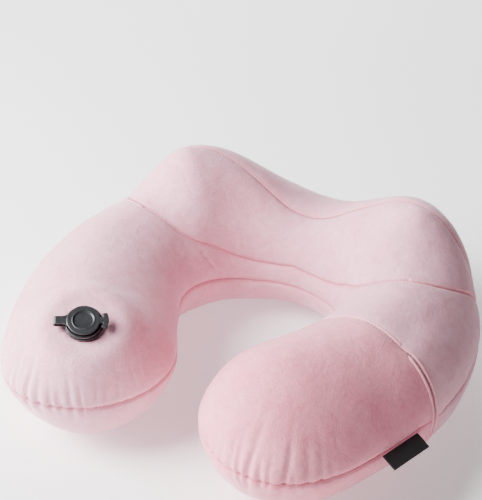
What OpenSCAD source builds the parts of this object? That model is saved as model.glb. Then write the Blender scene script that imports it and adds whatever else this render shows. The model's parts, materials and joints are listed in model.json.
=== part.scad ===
/* [Cushion outline] */
// Half width of the U's centreline at its widest
centre_half_w = 124; // [110:1:150]
// Depth of the centreline behind the neck
centre_back = 129; // [115:1:156]
// Depth of the centreline towards the arm tips
centre_front = 221; // [195:1:266]
// Angle from the back of the neck to each arm tip
tip_angle = 139; // [132:1:142]
// Angle taken up by each rounded arm tip
tip_round = 22; // [18:1:27]
// How far the arms curl in towards the opening, as a share
curl = 0.38; // [0:0.02:0.45]

/* [Cushion sections] */
// Half thickness of the cushion behind the neck
half_back = 60; // [50:1:72]
// Half thickness at the two humps
half_hump = 58; // [48:1:70]
// Half thickness of the arms
half_arm = 60; // [50:1:72]
// Half thickness near the arm tips
half_tip = 70; // [58:1:76]
// Height of the dip between the humps
high_back = 101; // [90:1:122]
// Height of the humps
high_hump = 143; // [125:1:172]
// Height of the arms
high_arm = 111; // [100:1:134]
// Height of the arms near the tips
high_tip = 117; // [100:1:141]
// Height of the edge seam behind the neck
seam_back = 42; // [35:1:51]
// Height of the edge seam along the arms
seam_arm = 56; // [47:1:68]
// How far the crest leans back behind the neck
lean_back = -17; // [-21:1:0]
// How far the crest leans out at the humps
lean_hump = 9; // [0:1:11]
// How far the cushion's base is pressed flat where it stands
press = 2; // [1:0.1:3]
// Angle of the humps from the back of the neck
hump_angle = 52; // [44:1:58]
// Angle at which the arms take their own section
arm_angle = 75; // [66:1:84]

/* [Cover] */
// Thickness of the velvet cover
cover_t = 1.6; // [1:0.1:2.2]
// Angle at which the hump panel's two seams meet
panel_end = 58; // [52:1:62]
// Angle of the seam round the right arm
arm_seam = 100; // [97:1:106]

/* [Bladder] */
// Thickness of the airtight film
film_t = 0.4; // [0.3:0.05:0.6]
// Room between the film and the cover
film_gap = 1.8; // [1.5:0.1:2.2]
// Width of the welded edge
weld_w = 4; // [3:0.5:6]
// Thickness of the two films welded together
weld_t = 0.8; // [0.6:0.1:1.2]

/* [Valve] */
// Angle of the valve along the left arm
valve_angle = 128; // [120:1:130]
// Which way the thumb tab points, seen from above
valve_turn = 28; // [0:1:60]
// Depth of the flat that the valve presses into the crest
valve_sink = 2.5; // [1.5:0.1:3.5]
// Radius of the flange welded to the film
flange_r = 20; // [18:0.5:22]
// Radius of the outlet in the valve base
outlet_r = 9.5; // [8:0.25:10.5]
// Radius of the inlet throat
throat_r = 4.5; // [3.5:0.25:5]
// Depth of the insert's sleeve below the cover
sleeve_depth = 6.8; // [6:0.2:10]
// Radius of the valve base's rim
rim_r = 14.5; // [13.5:0.25:17]
// Radius of the cap
cap_r = 12.5; // [11:0.25:13.5]
// Thickness of the cap
cap_t = 1.8; // [1.6:0.1:2.6]
// Length of the strap from the cap's edge
strap_reach = 8; // [7:0.25:12]
// Width of the strap
strap_w = 6.6; // [4:0.2:9]
// How far the insert lifts out
insert_lift = 12; // [10:1:20]

/* [Zip] */
// Angle of the zip's lower end round the arm
zip_low = -52; // [-56:1:-40]
// Angle of the zip's upper end round the arm
zip_high = 60; // [40:1:62]
// Width of each zip tape
tape_w = 11; // [9:0.5:13]
// Radius of each coil
coil_r = 0.8; // [0.6:0.05:0.9]
// Length of the slider
slider_l = 9; // [8:0.5:11]

/* [Label] */
// Length of the label along the seam
label_l = 38; // [25:1:42]
// How far the label stands out of the seam
label_w = 13.5; // [8:0.5:18]
// Thickness of the folded label
label_t = 1; // [0.6:0.1:1.4]
// Angle of the label's middle along the right arm
label_angle = 108; // [106:1:112]
// How far the label droops
label_droop = 26; // [0:1:40]

/* [Hidden] */

velvet = "#dcc3cb";
velvet_arm = "#d9a9b0";
film_colour = "#c9d3dc";
dark_plastic = "#3b3f42";

function smooth(t) = let (c = min(1, max(0, t))) c * c * (3 - 2 * c);
function power(v, e) = sign(v) * pow(abs(v), e);
function unit(v) = v / norm(v);
function mix(a, b, t) = a + (b - a) * t;

// ---- centreline of the U, walked from the left arm's tip (negative) to the right one's
roundness = 1.1;
curl_from = 90;
curl_over = 60;
function flat_centre(phi) = let (a = abs(phi))
    [centre_half_w * sin(phi) * (1 - curl * smooth((a - curl_from) / curl_over)),
     (a < 90 ? centre_back : centre_front) * cos(phi)];
function along(phi) = unit(flat_centre(phi + 0.05) - flat_centre(phi - 0.05));
function pace(phi) = norm(flat_centre(phi + 0.5) - flat_centre(phi - 0.5));
function outward(phi) = let (d = along(phi)) [-d.y, d.x];

// ---- size of the section at an angle
tip_from = tip_angle - tip_round;
tip_full = tip_angle - 0.6 * tip_round;
function profile(a, back, hump, arm, tip) =
    (a < hump_angle ? mix(back, hump, smooth(a / hump_angle))
                    : mix(hump, arm, smooth((a - hump_angle) / (arm_angle - hump_angle))))
    + (tip - arm) * smooth((a - arm_angle) / (tip_full - arm_angle));
seam_rise_from = 20;
function half_at(a) = profile(a, half_back, half_hump, half_arm, half_tip);
function high_at(a) = profile(a, high_back, high_hump, high_arm, high_tip);
function lean_at(a) = profile(a, lean_back, lean_hump, 0, 0);
function seam_at(a) = mix(seam_back, seam_arm, smooth((a - seam_rise_from) / arm_angle));

// Out and up of a point of the section; theta is 0 at the outer edge seam, 90 at the crest, 180 inside
function section(phi, theta, inset, round_share) = let (
    a = abs(phi), s = sin(theta), rise = power(s, roundness))
    [(half_at(a) - inset) * round_share * power(cos(theta), roundness)
        + (s > 0 ? lean_at(a) * round_share * pow(s, 1.5) : 0),
     s > 0 ? (high_at(a) - seam_at(a) - inset) * round_share * rise
           : max(inset - seam_at(a), (seam_at(a) + press - inset) * round_share * rise)];

// ---- the seam round the right arm is drawn to a true circle where the zip runs
ring_a = section(arm_seam, 62, 0, 1);
ring_b = section(arm_seam, 0, 0, 1);
ring_c = section(arm_seam, -55, 0, 1);
ring_det = 2 * ((ring_a.x - ring_b.x) * (ring_c.y - ring_b.y)
    - (ring_a.y - ring_b.y) * (ring_c.x - ring_b.x));
ring_sa = ring_a * ring_a - ring_b * ring_b;
ring_sc = ring_c * ring_c - ring_b * ring_b;
ring_mid = [(ring_sa * (ring_c.y - ring_b.y) - ring_sc * (ring_a.y - ring_b.y)) / ring_det,
    (ring_sc * (ring_a.x - ring_b.x) - ring_sa * (ring_c.x - ring_b.x)) / ring_det];
ring_r = norm(ring_a - ring_mid);
ring_full = 3;
ring_fade = 9;
ring_edge = 25;
function turn_of(p) = atan2(p.y - ring_mid.y, p.x - ring_mid.x);
function zip_share(turn, edge) = smooth((turn - zip_low + edge) / edge)
    * smooth((zip_high + edge - turn) / edge);
function ringed(phi, p, inset) = let (
    turn = turn_of(p),
    w = (1 - smooth((abs(phi - arm_seam) - ring_full) / ring_fade)) * zip_share(turn, ring_edge))
    mix(p, ring_mid + (ring_r - inset) * unit(p - ring_mid), w);

// ---- a point of the cushion, an inset below its surface
tip_pace = pace(tip_angle - 1);
function into_tip(phi) = min(1, max(0, (abs(phi) - tip_from) / tip_round));
function tip_share(phi) = sqrt(1 - pow(into_tip(phi), 2));
function raw_skin(phi, theta, inset = 0) = let (
    into = into_tip(phi),
    at = into > 0 ? sign(phi) * (tip_from + into * (tip_round - inset / tip_pace)) : phi,
    p = ringed(phi, section(at, theta, inset, tip_share(phi)), inset),
    c = flat_centre(at), n = outward(at))
    [c.x + n.x * p.x, c.y + n.y * p.x, seam_at(abs(at)) + p.y];

// ---- the frame stands the cushion in the middle of its own box
edge_y = [for (a = [0 : 1 : tip_angle]) for (t = [0, 180]) raw_skin(a, t).y];
shift_y = -(max(edge_y) + min(edge_y)) / 2;
function shifted(p) = [p.x, p.y + shift_y, p.z];

// ---- the valve's own frame: z out of the crest, x along the thumb tab
valve_top = shifted(raw_skin(-valve_angle, 90));
valve_z = unit(cross(raw_skin(1 - valve_angle, 90) - raw_skin(-1 - valve_angle, 90),
    raw_skin(-valve_angle, 89) - raw_skin(-valve_angle, 91)));
valve_at = valve_top - valve_sink * valve_z;
tab_way = [cos(valve_turn), sin(valve_turn), 0];
valve_x = unit(tab_way - (tab_way * valve_z) * valve_z);
valve_y = cross(valve_z, valve_x);
module in_valve() multmatrix([
    [valve_x.x, valve_y.x, valve_z.x, valve_at.x],
    [valve_x.y, valve_y.y, valve_z.y, valve_at.y],
    [valve_x.z, valve_y.z, valve_z.z, valve_at.z]]) children();
flat_r = flange_r + 5;
flat_fade = 24;
flat_rise = 3;
function skin(phi, theta, inset = 0) = let (
    p = shifted(raw_skin(phi, theta, inset)), v = p - valve_at, d = v * valve_z,
    r = norm(v - d * valve_z),
    w = phi > 0 ? 0 : (1 - smooth((r - flat_r) / flat_fade))
        * smooth(flat_rise * sin(theta) * tip_share(phi)))
    p - (w * (d + inset)) * valve_z;

// ---- the seams between the panels, as angle along the U and angle round the section
front_near = [[0, 158], [45, 175], [panel_end + 18, 165], [panel_end + 18, 97]];
front_far = [[panel_end + 18, 97], [panel_end + 18, 55], [panel_end + 8, 35], [panel_end, 0]];
rear_line = [[0, 105], [30, 112], [panel_end + 6, 100], [panel_end, 0]];
function bezier(c, t) = pow(1 - t, 3) * c[0] + 3 * t * pow(1 - t, 2) * c[1]
    + 3 * t * t * (1 - t) * c[2] + t * t * t * c[3];
function sided(p, s) = [s < 0 ? -p.x : p.x, p.y];
function front_seam(s) = let (t = abs(s))
    sided(t < 0.5 ? bezier(front_near, 2 * t) : bezier(front_far, 2 * t - 1), s);
function rear_seam(s) = sided(bezier(rear_line, abs(s)), s);

// ---- columns: each runs from the outer edge seam to the inner one
tip_steps = 6;
valve_steps = 4;
valve_step = 5.5;
left_steps = 14;
middle_steps = 16;
right_steps = 9;
arm_steps = 5;
inner_end = 85;
function tip_column(i) = tip_from + tip_round * sin(90 * i / tip_steps);
function middle_inner(s) = sign(s) * inner_end * (1 - pow(1 - abs(s), 3.5));
left_from = valve_angle - 2 * valve_step;
left_columns = concat(
    [for (i = [valve_steps : -1 : 0])
        let (p = -mix(valve_angle, tip_angle, sin(90 * i / valve_steps))) [p, p]],
    [[valve_step - valve_angle, valve_step - valve_angle]],
    [for (i = [0 : left_steps - 1]) let (t = i / left_steps)
        [mix(-left_from, -panel_end, t), mix(-left_from, -inner_end, t)]]);
middle_columns = [for (i = [-middle_steps : middle_steps]) i / middle_steps];
right_columns = [for (i = [1 : right_steps]) let (t = i / right_steps)
    [mix(panel_end, arm_seam, t), mix(inner_end, arm_seam, t)]];
arm_columns = concat(
    [for (i = [0 : arm_steps - 1]) let (p = mix(arm_seam, tip_from, i / arm_steps)) [p, p]],
    [for (i = [0 : tip_steps]) [tip_column(i), tip_column(i)]]);
edge_columns = concat(left_columns,
    [for (s = middle_columns) [panel_end * s, middle_inner(s)]], right_columns);
all_columns = concat(edge_columns, [for (i = [1 : len(arm_columns) - 1]) arm_columns[i]]);

// ---- rows round the section
top_rows = 16;
hump_rows = 6;
back_rows = 7;
film_rows = 16;
base_angles = [360, 350, 340, 330, 320, 309, 297, 284, 256, 240, 220, 200, 180];
function eased(w) = 1 - pow(1 - w, 3);
function between(from, to, rows) = [for (i = [0 : rows]) let (w = i / rows)
    [mix(from.x, to.x, eased(w)), mix(from.y, to.y, w)]];
function straight(from, to, rows) = [for (i = [0 : rows]) mix(from, to, i / rows)];

// The slit that the zip closes, as an angle along the U
slit = 0.9;
slit_edge = 6;
function slit_at(theta) = let (t = theta > 180 ? theta - 360 : theta)
    slit / pace(arm_seam) * (abs(t) > 120 ? 0
        : zip_share(turn_of(section(arm_seam, t, 0, 1)), slit_edge));
function slit_column(side, angles) = [for (t = angles) [arm_seam + side * slit_at(t), t]];
top_angles = [for (i = [0 : top_rows]) 180 * i / top_rows];

main_cells = concat(
    [for (c = left_columns) between([c[0], 0], [c[1], 180], top_rows)],
    [for (s = middle_columns) between(front_seam(s), [middle_inner(s), 180], top_rows)],
    [for (i = [0 : right_steps - 2]) let (c = right_columns[i])
        between([c[0], 0], [c[1], 180], top_rows)],
    [slit_column(-1, top_angles)]);
hump_cells = [for (s = middle_columns) straight(rear_seam(s), front_seam(s), hump_rows)];
back_cells = [for (s = middle_columns) straight([panel_end * s, 0], rear_seam(s), back_rows)];
arm_cells = concat([slit_column(1, top_angles)],
    [for (i = [1 : len(arm_columns) - 1]) [for (t = top_angles) [arm_columns[i][0], t]]]);
function base_column(c) = [for (t = base_angles) [mix(c[0], c[1], (360 - t) / 180), t]];
base_cells = concat(
    [for (i = [0 : len(edge_columns) - 2]) base_column(edge_columns[i])],
    [slit_column(-1, base_angles)]);
arm_base_cells = concat([slit_column(1, base_angles)],
    [for (i = [1 : len(arm_columns) - 1]) base_column(arm_columns[i])]);

// ---- a plate on a grid of points: an outer sheet, an inner sheet and walls round its edge
function flatten(rows) = [for (r = rows) for (p = r) p];
function three(pts, a, b, c) =
    pts[a] == pts[b] || pts[b] == pts[c] || pts[a] == pts[c] ? [] : [[a, b, c]];
function four(pts, a, b, c, d) = concat(three(pts, a, b, c), three(pts, a, c, d));
hole_at = valve_steps;
hole_span = 2;
function hole_rim(mid) = let (a = hole_at, b = hole_span) [
    for (i = [-b : b - 1]) [a + i, mid - b], for (j = [-b : b - 1]) [a + b, mid + j],
    for (i = [b : -1 : 1 - b]) [a + i, mid + b], for (j = [b : -1 : 1 - b]) [a - b, mid + j]];
// A point of the valve's flat at the same bearing as p, no further out than p allows
function flat_point(p, r, depth) = let (v = p - valve_at, w = v - (v * valve_z) * valve_z)
    valve_at - depth * valve_z + min(r, rim_share * norm(w)) * unit(w);
rim_share = 0.92;
module plate(outer, inner, hole_r = 0, depths = [0, 0]) {
    rows = len(outer);
    cols = len(outer[0]);
    n = rows * cols;
    mid = (cols - 1) / 2;
    rim = hole_r > 0 ? hole_rim(mid) : [];
    m = len(rim);
    pts = concat(flatten(outer), flatten(inner), [for (r = [flange_r + 1.5, hole_r])
        for (side = [0, 1]) for (q = rim)
            flat_point((side == 0 ? outer : inner)[q[0]][q[1]], r, depths[side])]);
    function holed(i, j) = hole_r > 0 && i >= hole_at - hole_span && i < hole_at + hole_span
        && j >= mid - hole_span && j < mid + hole_span;
    polyhedron(pts, [
        for (i = [0 : rows - 2]) for (j = [0 : cols - 2]) if (!holed(i, j))
            let (k = i * cols + j)
            for (f = concat(four(pts, k, k + 1, k + cols + 1, k + cols),
                four(pts, n + k, n + k + cols, n + k + cols + 1, n + k + 1))) f,
        if (m > 0) for (i = [0 : m - 1]) let (e = (i + 1) % m,
            a = rim[i][0] * cols + rim[i][1], b = rim[e][0] * cols + rim[e][1],
            c = 2 * n + i, d = 2 * n + e, g = c + 2 * m, h = d + 2 * m)
            for (f = concat(four(pts, b, a, c, d), four(pts, n + a, n + b, m + d, m + c),
                four(pts, d, c, g, h), four(pts, m + c, m + d, m + h, m + g),
                four(pts, h, g, m + g, m + h))) f,
        for (i = [0 : rows - 2]) let (k = i * cols, m = i * cols + cols - 1)
            for (f = concat(four(pts, k, k + cols, n + k + cols, n + k),
                four(pts, m, n + m, n + m + cols, m + cols))) f,
        for (j = [0 : cols - 2]) let (m = (rows - 1) * cols + j)
            for (f = concat(four(pts, j, n + j, n + j + 1, j + 1),
                four(pts, m, m + 1, n + m + 1, n + m))) f]);
}
function skinned(cells, inset) = [for (c = cells) [for (q = c) skin(q.x, q.y, inset)]];
module cloth(cells, hole_r = 0)
    plate(skinned(cells, 0), skinned(cells, cover_t), hole_r, [0, cover_t]);

// ---- stack of the valve, in its own frame
slip = 0.08;
gap = 0.2;
play = 0.35;
neck_wall = 2.9;
film_top = cover_t + film_gap;
film_low = film_top + film_t;
flange_t = 0.8;
flange_top = -film_low - 0.05;
hole_gap = 1.2;
neck_r = outlet_r + neck_wall;
rim_low = 0.3;
rim_t = 1.6;
rim_top = rim_low + rim_t;
washer_low = rim_top + gap;
washer_t = 0.6;
washer_free = 0.02;
disc_r = rim_r - 0.5;
disc_low = washer_low + washer_t;
disc_t = 1.3;
disc_top = disc_low + disc_t;
inlet_r = throat_r + 2.6;
inlet_top = disc_top + 1.6;
plug_r = throat_r + 0.8;
socket_low = disc_low;
cap_low = inlet_top + 2 * gap;
cap_top = cap_low + cap_t;
recess_r = cap_r * 0.62;
recess_d = cap_t / 2;
strap_t = 1.2;
strap_high = cap_low + cap_t / 2;
strap_low = disc_low + disc_t / 2;
loop_z = (strap_high + strap_low) / 2;
loop_r = (strap_high - strap_low) / 2;
loop_x = -(cap_r + strap_reach);
tab_neck_w = 4;
tab_w = 12.5;
tab_from = cap_r + 2;
tab_to = cap_r + 6.6;
flap_r = throat_r + 1.5;
flap_t = 0.6;
flap_top = -sleeve_depth - 0.1;
pin_r = 0.5;
pin_grip = 0.02;
pin_free = 0.06;
pin_l = 4.6;
knuckle_r = pin_r + 0.5;
knuckle_l = 2.6;
flap_axis_x = -(flap_r + 0.9);
flap_axis_z = flap_top - 0.2 - knuckle_r;
lug_t = 0.8;
lug_in = knuckle_l / 2 + gap;

// ---- slider and tapes, as radii about the zip's own circle
tape_out = cover_t + 0.9;
tape_t = 0.5;
coil_in = tape_out + tape_t + coil_r + 0.05;
coil_y = 2 * coil_r;
dent = 6;
slider_wall = 1.2;
slider_y = coil_y + coil_r + 0.6;
slider_roof = coil_in - coil_r + 0.4;
slider_floor = coil_in + coil_r + 0.5;
slider_start = zip_low + 10;
stop_near = 0.5;
stop_far = 3;
stop_half_w = 3;
label_tuck = 0.6;
post_y = 0.45;
crown_low = 0.4;
crown_t = 1.2;
crown_half_w = 2.4;
lug_half_w = 2;
lug_h = 1.8;
bar_r = 0.5;
slider_half = slider_l / 2 / ring_r * 180 / PI;
seam_mid = flat_centre(arm_seam);
seam_out = outward(arm_seam);
module on_ring(turn) multmatrix([
    [seam_out.x, -seam_out.y, 0, seam_mid.x + seam_out.x * ring_mid.x],
    [seam_out.y, seam_out.x, 0, seam_mid.y + shift_y + seam_out.y * ring_mid.x],
    [0, 0, 1, seam_at(arm_seam) + ring_mid.y]])
    rotate([90, 0, 0]) rotate([0, 0, turn]) children();
module sweep(from, to) on_ring(from) rotate_extrude(angle = to - from, $fn = 96) children();
module block(x0, x1, y0, y1) translate([x0, y0]) square([x1 - x0, y1 - y0]);

// ---- the airtight bladder
edge_share = 0.3;
function near_edge(q) = 1 - smooth(abs(sin(q.y)) * tip_share(q.x) / edge_share);
function dent_at(phi, theta) = let (t = theta > 180 ? theta - 360 : theta)
    dent * (1 - smooth((abs(phi - arm_seam) * pace(arm_seam) - 7) / 16))
    * (abs(t) > 130 ? 0 : zip_share(turn_of(section(arm_seam, t, 0, 1)), ring_edge));
function film_skin(q, depth, side) = let (e = near_edge(q),
    p = skin(q.x, q.y, film_top + depth + weld_w * e + dent_at(q.x, q.y)))
    [p.x, p.y, p.z + side * e * weld_t / 2];
module film(cells, side, hole_r = 0) plate(
    [for (c = cells) [for (q = c) film_skin(q, 0, side)]],
    [for (c = cells) [for (q = c) film_skin(q, film_t, side)]], hole_r, [film_top, film_low]);

module cover_main_panel() color(velvet) cloth(main_cells, neck_r + hole_gap);

module cover_hump_panel() color(velvet) cloth(hump_cells);

module cover_back_panel() color(velvet) cloth(back_cells);

module cover_arm_panel() color(velvet_arm) cloth(arm_cells);

module cover_base_panel() color(velvet) cloth(base_cells);

module cover_arm_base_panel() color(velvet_arm) cloth(arm_base_cells);

module bladder_top_film() color(film_colour)
    film([for (c = all_columns) straight([c[0], 0], [c[1], 180], film_rows)], 1,
        neck_r + hole_gap);

module bladder_base_film() color(film_colour) film([for (c = all_columns) base_column(c)], -1);

module bladder_weld() color(film_colour) {
    n = len(all_columns);
    ring = concat([for (c = all_columns) [c[0], 0]],
        [for (i = [n - 2 : -1 : 1]) [all_columns[i][1], 180]]);
    m = len(ring);
    pts = [for (q = ring) let (depth = film_top + dent_at(q.x, q.y), up = [0, 0, weld_t / 2],
            far = skin(q.x, q.y, depth), near = skin(q.x, q.y, depth + weld_w + film_t))
            for (p = [far + up, near + up, near - up, far - up]) p];
    polyhedron(pts, [for (i = [0 : m - 1]) for (j = [0 : 3])
        let (a = 4 * i + j, b = 4 * i + (j + 1) % 4,
             c = 4 * ((i + 1) % m) + (j + 1) % 4, d = 4 * ((i + 1) % m) + j)
        for (f = four(pts, a, d, c, b)) f]);
}

module valve_base() color(dark_plastic) in_valve() rotate_extrude($fn = 96) polygon([
    [outlet_r, flange_top - flange_t], [flange_r, flange_top - flange_t], [flange_r, flange_top],
    [neck_r, flange_top], [neck_r, rim_low], [rim_r, rim_low], [rim_r, rim_top],
    [outlet_r, rim_top]]);

module valve_insert() color(dark_plastic) in_valve() {
    insert_body();
    flap_lug(-1);
    flap_lug(1);
}

module insert_body() rotate_extrude($fn = 96) polygon([
    [throat_r, -sleeve_depth], [throat_r + 1.6, -sleeve_depth], [throat_r + 1.6, -1],
    [outlet_r - 1.6, -1], [outlet_r - 1.6, -sleeve_depth], [outlet_r - slip, -sleeve_depth],
    [outlet_r - slip, disc_low], [disc_r, disc_low], [disc_r, disc_top], [inlet_r, disc_top],
    [inlet_r, inlet_top], [plug_r + play, inlet_top], [plug_r + play, socket_low],
    [throat_r, socket_low]]);

module flap_lug(side) translate([flap_axis_x, side * (lug_in + lug_t / 2), 0])
    rotate([90, 0, 0]) difference() {
        translate([-knuckle_r, flap_axis_z - knuckle_r, -lug_t / 2])
            cube([2 * knuckle_r, -sleeve_depth + 0.3 - flap_axis_z + knuckle_r, lug_t]);
        translate([0, flap_axis_z, 0])
            cylinder(r = pin_r + pin_grip, h = 2 * lug_t, center = true, $fn = 48);
    }

module valve_seal_washer() color("#202224") in_valve() translate([0, 0, washer_low])
    rotate_extrude($fn = 96) block(outlet_r + gap, disc_r - gap, 0, washer_t - washer_free);

module check_flap() color("#8d9499") in_valve() {
    translate([0, 0, flap_top - flap_t]) cylinder(r = flap_r, h = flap_t, $fn = 64);
    translate([flap_axis_x, -knuckle_l / 2, flap_top - flap_t]) cube([2, knuckle_l, flap_t]);
    translate([flap_axis_x, 0, flap_axis_z]) rotate([90, 0, 0]) difference() {
        cylinder(r = knuckle_r, h = knuckle_l, center = true, $fn = 48);
        cylinder(r = pin_r + pin_free, h = pin_l, center = true, $fn = 48);
    }
}

module check_flap_pin() color("#b9bec2") in_valve()
    translate([flap_axis_x, 0, flap_axis_z]) rotate([90, 0, 0])
        cylinder(r = pin_r, h = pin_l, center = true, $fn = 48);

module valve_cap() color(dark_plastic) in_valve() {
    rotate_extrude($fn = 96) polygon([[0, socket_low + gap], [plug_r, socket_low + gap],
        [plug_r, cap_low], [cap_r, cap_low], [cap_r, cap_top], [recess_r, cap_top],
        [recess_r, cap_top - recess_d], [0, cap_top - recess_d]]);
    translate([0, 0, cap_low]) linear_extrude(cap_t) {
        translate([cap_r - 0.5, -tab_neck_w / 2]) square([tab_from - cap_r + 1, tab_neck_w]);
        intersection() {
            circle(r = tab_to, $fn = 96);
            translate([tab_from, -tab_w / 2]) square([tab_to, tab_w]);
        }
    }
}

module cap_strap() color(dark_plastic) in_valve() difference() {
    rotate([90, 0, 0]) linear_extrude(strap_w, center = true) {
        translate([loop_x, strap_high - strap_t / 2]) square([strap_reach + 1, strap_t]);
        translate([loop_x, strap_low - strap_t / 2]) square([-loop_x - disc_r + 2, strap_t]);
        translate([loop_x, loop_z]) difference() {
            circle(r = loop_r + strap_t / 2, $fn = 64);
            circle(r = loop_r - strap_t / 2, $fn = 64);
            translate([0, -loop_r * 2]) square(loop_r * 4);
        }
    }
    translate([0, 0, disc_low - 1]) cylinder(r = disc_r + 0.05, h = loop_z - disc_low + 1, $fn = 96);
    translate([0, 0, loop_z]) cylinder(r = cap_r + gap, h = loop_r * 3, $fn = 96);
}

module zip_tape(side) color(velvet_arm) sweep(zip_low - 4, zip_high + 4)
    block(ring_r - tape_out - tape_t, ring_r - tape_out,
        side > 0 ? slit : -slit - tape_w, side > 0 ? slit + tape_w : -slit);
module zip_tape_shoulder() zip_tape(-1);
module zip_tape_arm() zip_tape(1);

module zip_coil(side) color("#e8d6da") sweep(zip_low, zip_high)
    translate([ring_r - coil_in, side * coil_y]) circle(r = coil_r, $fn = 32);
module zip_coil_shoulder() zip_coil(-1);
module zip_coil_arm() zip_coil(1);

module zip_slider() color("#c9bcc0") {
    sweep(slider_start - slider_half, slider_start + slider_half) {
        block(ring_r - slider_floor - slider_wall, ring_r - slider_floor,
            -slider_y - slider_wall, slider_y + slider_wall);
        for (s = [-1, 1])
            block(ring_r - slider_floor - 0.1, ring_r - slider_roof,
                s > 0 ? slider_y : -slider_y - slider_wall,
                s > 0 ? slider_y + slider_wall : -slider_y);
        block(ring_r - slider_floor - 0.1, ring_r + crown_low + 0.1, -post_y, post_y);
        block(ring_r + crown_low, ring_r + crown_low + crown_t, -crown_half_w, crown_half_w);
    }
    on_ring(slider_start) {
        for (s = [-1, 1]) translate([ring_r + crown_low + crown_t - 0.2, -1, s * lug_half_w - 0.4])
            cube([lug_h, 2, 0.8]);
        translate([ring_r + crown_low + crown_t + lug_h - 0.8, 0, 0])
            cylinder(r = bar_r, h = 2 * crown_half_w, center = true, $fn = 32);
    }
}

module zip_stops() color("#b9b4b6") for (from = [zip_low - stop_far, zip_high + stop_near])
    sweep(from, from + stop_far - stop_near)
        block(ring_r - coil_in - coil_r, ring_r - coil_in + coil_r, -stop_half_w, stop_half_w);

label_run = skin(label_angle + 4, 0) - skin(label_angle - 4, 0);
label_along = unit([label_run.x, label_run.y, 0]);
label_way = [-label_along.y * cos(label_droop), label_along.x * cos(label_droop),
    -sin(label_droop)];
label_up = cross(label_way, label_along);
label_at = skin(label_angle, 0, -label_tuck);
module label_tag() color("#151515") multmatrix([
    [label_way.x, label_along.x, -label_up.x, label_at.x],
    [label_way.y, label_along.y, -label_up.y, label_at.y],
    [label_way.z, 0, -label_up.z, label_at.z]])
    translate([0, -label_l / 2, -label_t / 2]) cube([label_w, label_l, label_t]);

cover_main_panel();
cover_hump_panel();
cover_back_panel();
cover_arm_panel();
cover_base_panel();
cover_arm_base_panel();
bladder_top_film();
bladder_base_film();
bladder_weld();
valve_base();
valve_insert();
valve_seal_washer();
check_flap();
check_flap_pin();
valve_cap();
cap_strap();
zip_tape_shoulder();
zip_tape_arm();
zip_coil_shoulder();
zip_coil_arm();
zip_slider();
zip_stops();
label_tag();
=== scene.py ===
# %% [markdown]
# # A u shaped neck pillow, finished in Blender
# The pillow is an air bladder in a zip-off velvet cover. The construction model already holds every
# piece at its real size, so this script only gives the pieces their looks. Soft parts are built again
# here as fine meshes over the same shape, hard parts get rounded edges, and every surface gets a
# material made from nodes.

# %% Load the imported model
import json
import math
import random
from contextlib import contextmanager

import bmesh
import bpy
import numpy as np
from mathutils import Matrix, Vector, noise
from mathutils.kdtree import KDTree


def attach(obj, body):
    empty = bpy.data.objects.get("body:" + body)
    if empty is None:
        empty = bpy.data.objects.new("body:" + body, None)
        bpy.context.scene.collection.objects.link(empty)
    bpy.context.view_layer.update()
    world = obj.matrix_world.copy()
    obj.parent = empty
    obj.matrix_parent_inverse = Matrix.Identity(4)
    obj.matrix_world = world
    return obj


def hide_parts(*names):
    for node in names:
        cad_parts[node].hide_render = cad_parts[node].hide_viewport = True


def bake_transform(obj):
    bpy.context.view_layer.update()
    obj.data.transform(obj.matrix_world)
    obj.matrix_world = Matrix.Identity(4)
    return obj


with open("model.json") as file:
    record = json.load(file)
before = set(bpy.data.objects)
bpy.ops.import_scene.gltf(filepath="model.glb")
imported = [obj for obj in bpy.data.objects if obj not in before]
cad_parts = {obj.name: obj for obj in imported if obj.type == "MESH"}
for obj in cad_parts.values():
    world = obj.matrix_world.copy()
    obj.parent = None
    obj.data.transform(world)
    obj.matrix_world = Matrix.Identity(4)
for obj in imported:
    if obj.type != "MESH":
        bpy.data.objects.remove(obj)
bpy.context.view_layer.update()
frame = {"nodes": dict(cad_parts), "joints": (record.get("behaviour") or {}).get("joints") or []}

MM = 0.001
nodes = frame["nodes"]
joints = {j["name"]: j for j in frame["joints"]}

# %% [markdown]
# ## The shape of the cushion
# A cushion like this could be sculpted by hand, but its shape follows a rule: a rounded section is
# carried along a U and changes size on the way. Writing that rule as a function of two angles, phi
# along the U and theta round the section, lets every panel, seam and film be cut from one surface, so
# they meet exactly. The sizes are those of the construction model, in millimetres.

# %% The sizes of the cushion
CENTRE_HALF_W, CENTRE_BACK, CENTRE_FRONT = 124, 129, 221
TIP_ANGLE, TIP_ROUND, CURL, ROUNDNESS = 139, 22, 0.38, 1.1
HALF = (60, 58, 60, 70)      # half thickness at the back, humps, arms and tips
HIGH = (101, 143, 111, 117)  # height at the same places
LEAN = (-17, 9, 0, 0)        # how far the crest leans out
SEAM_BACK, SEAM_ARM, PRESS = 42, 56, 2
HUMP_ANGLE, ARM_ANGLE, PANEL_END, ARM_SEAM = 52, 75, 58, 100
ZIP_LOW, ZIP_HIGH = -52, 60
COVER_T = 1.6
TIP_FROM = TIP_ANGLE - TIP_ROUND
TIP_FULL = TIP_ANGLE - 0.6 * TIP_ROUND


# %% The section carried along the U
def sind(a):
    return np.sin(np.radians(a))


def cosd(a):
    return np.cos(np.radians(a))


def smooth(t):
    t = np.clip(t, 0, 1)
    return t * t * (3 - 2 * t)


def power(v, e):
    return np.sign(v) * np.abs(v) ** e


def mix(a, b, t):
    return a + (b - a) * t


def centre(phi):
    a = np.abs(phi)
    x = CENTRE_HALF_W * sind(phi) * (1 - CURL * smooth((a - 90) / 60))
    y = np.where(a < 90, CENTRE_BACK, CENTRE_FRONT) * cosd(phi)
    return np.stack([x, y], -1)


def along(phi):
    d = centre(phi + 0.05) - centre(phi - 0.05)
    return d / np.linalg.norm(d, axis=-1, keepdims=True)


def outward(phi):
    d = along(phi)
    return np.stack([-d[..., 1], d[..., 0]], -1)


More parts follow.
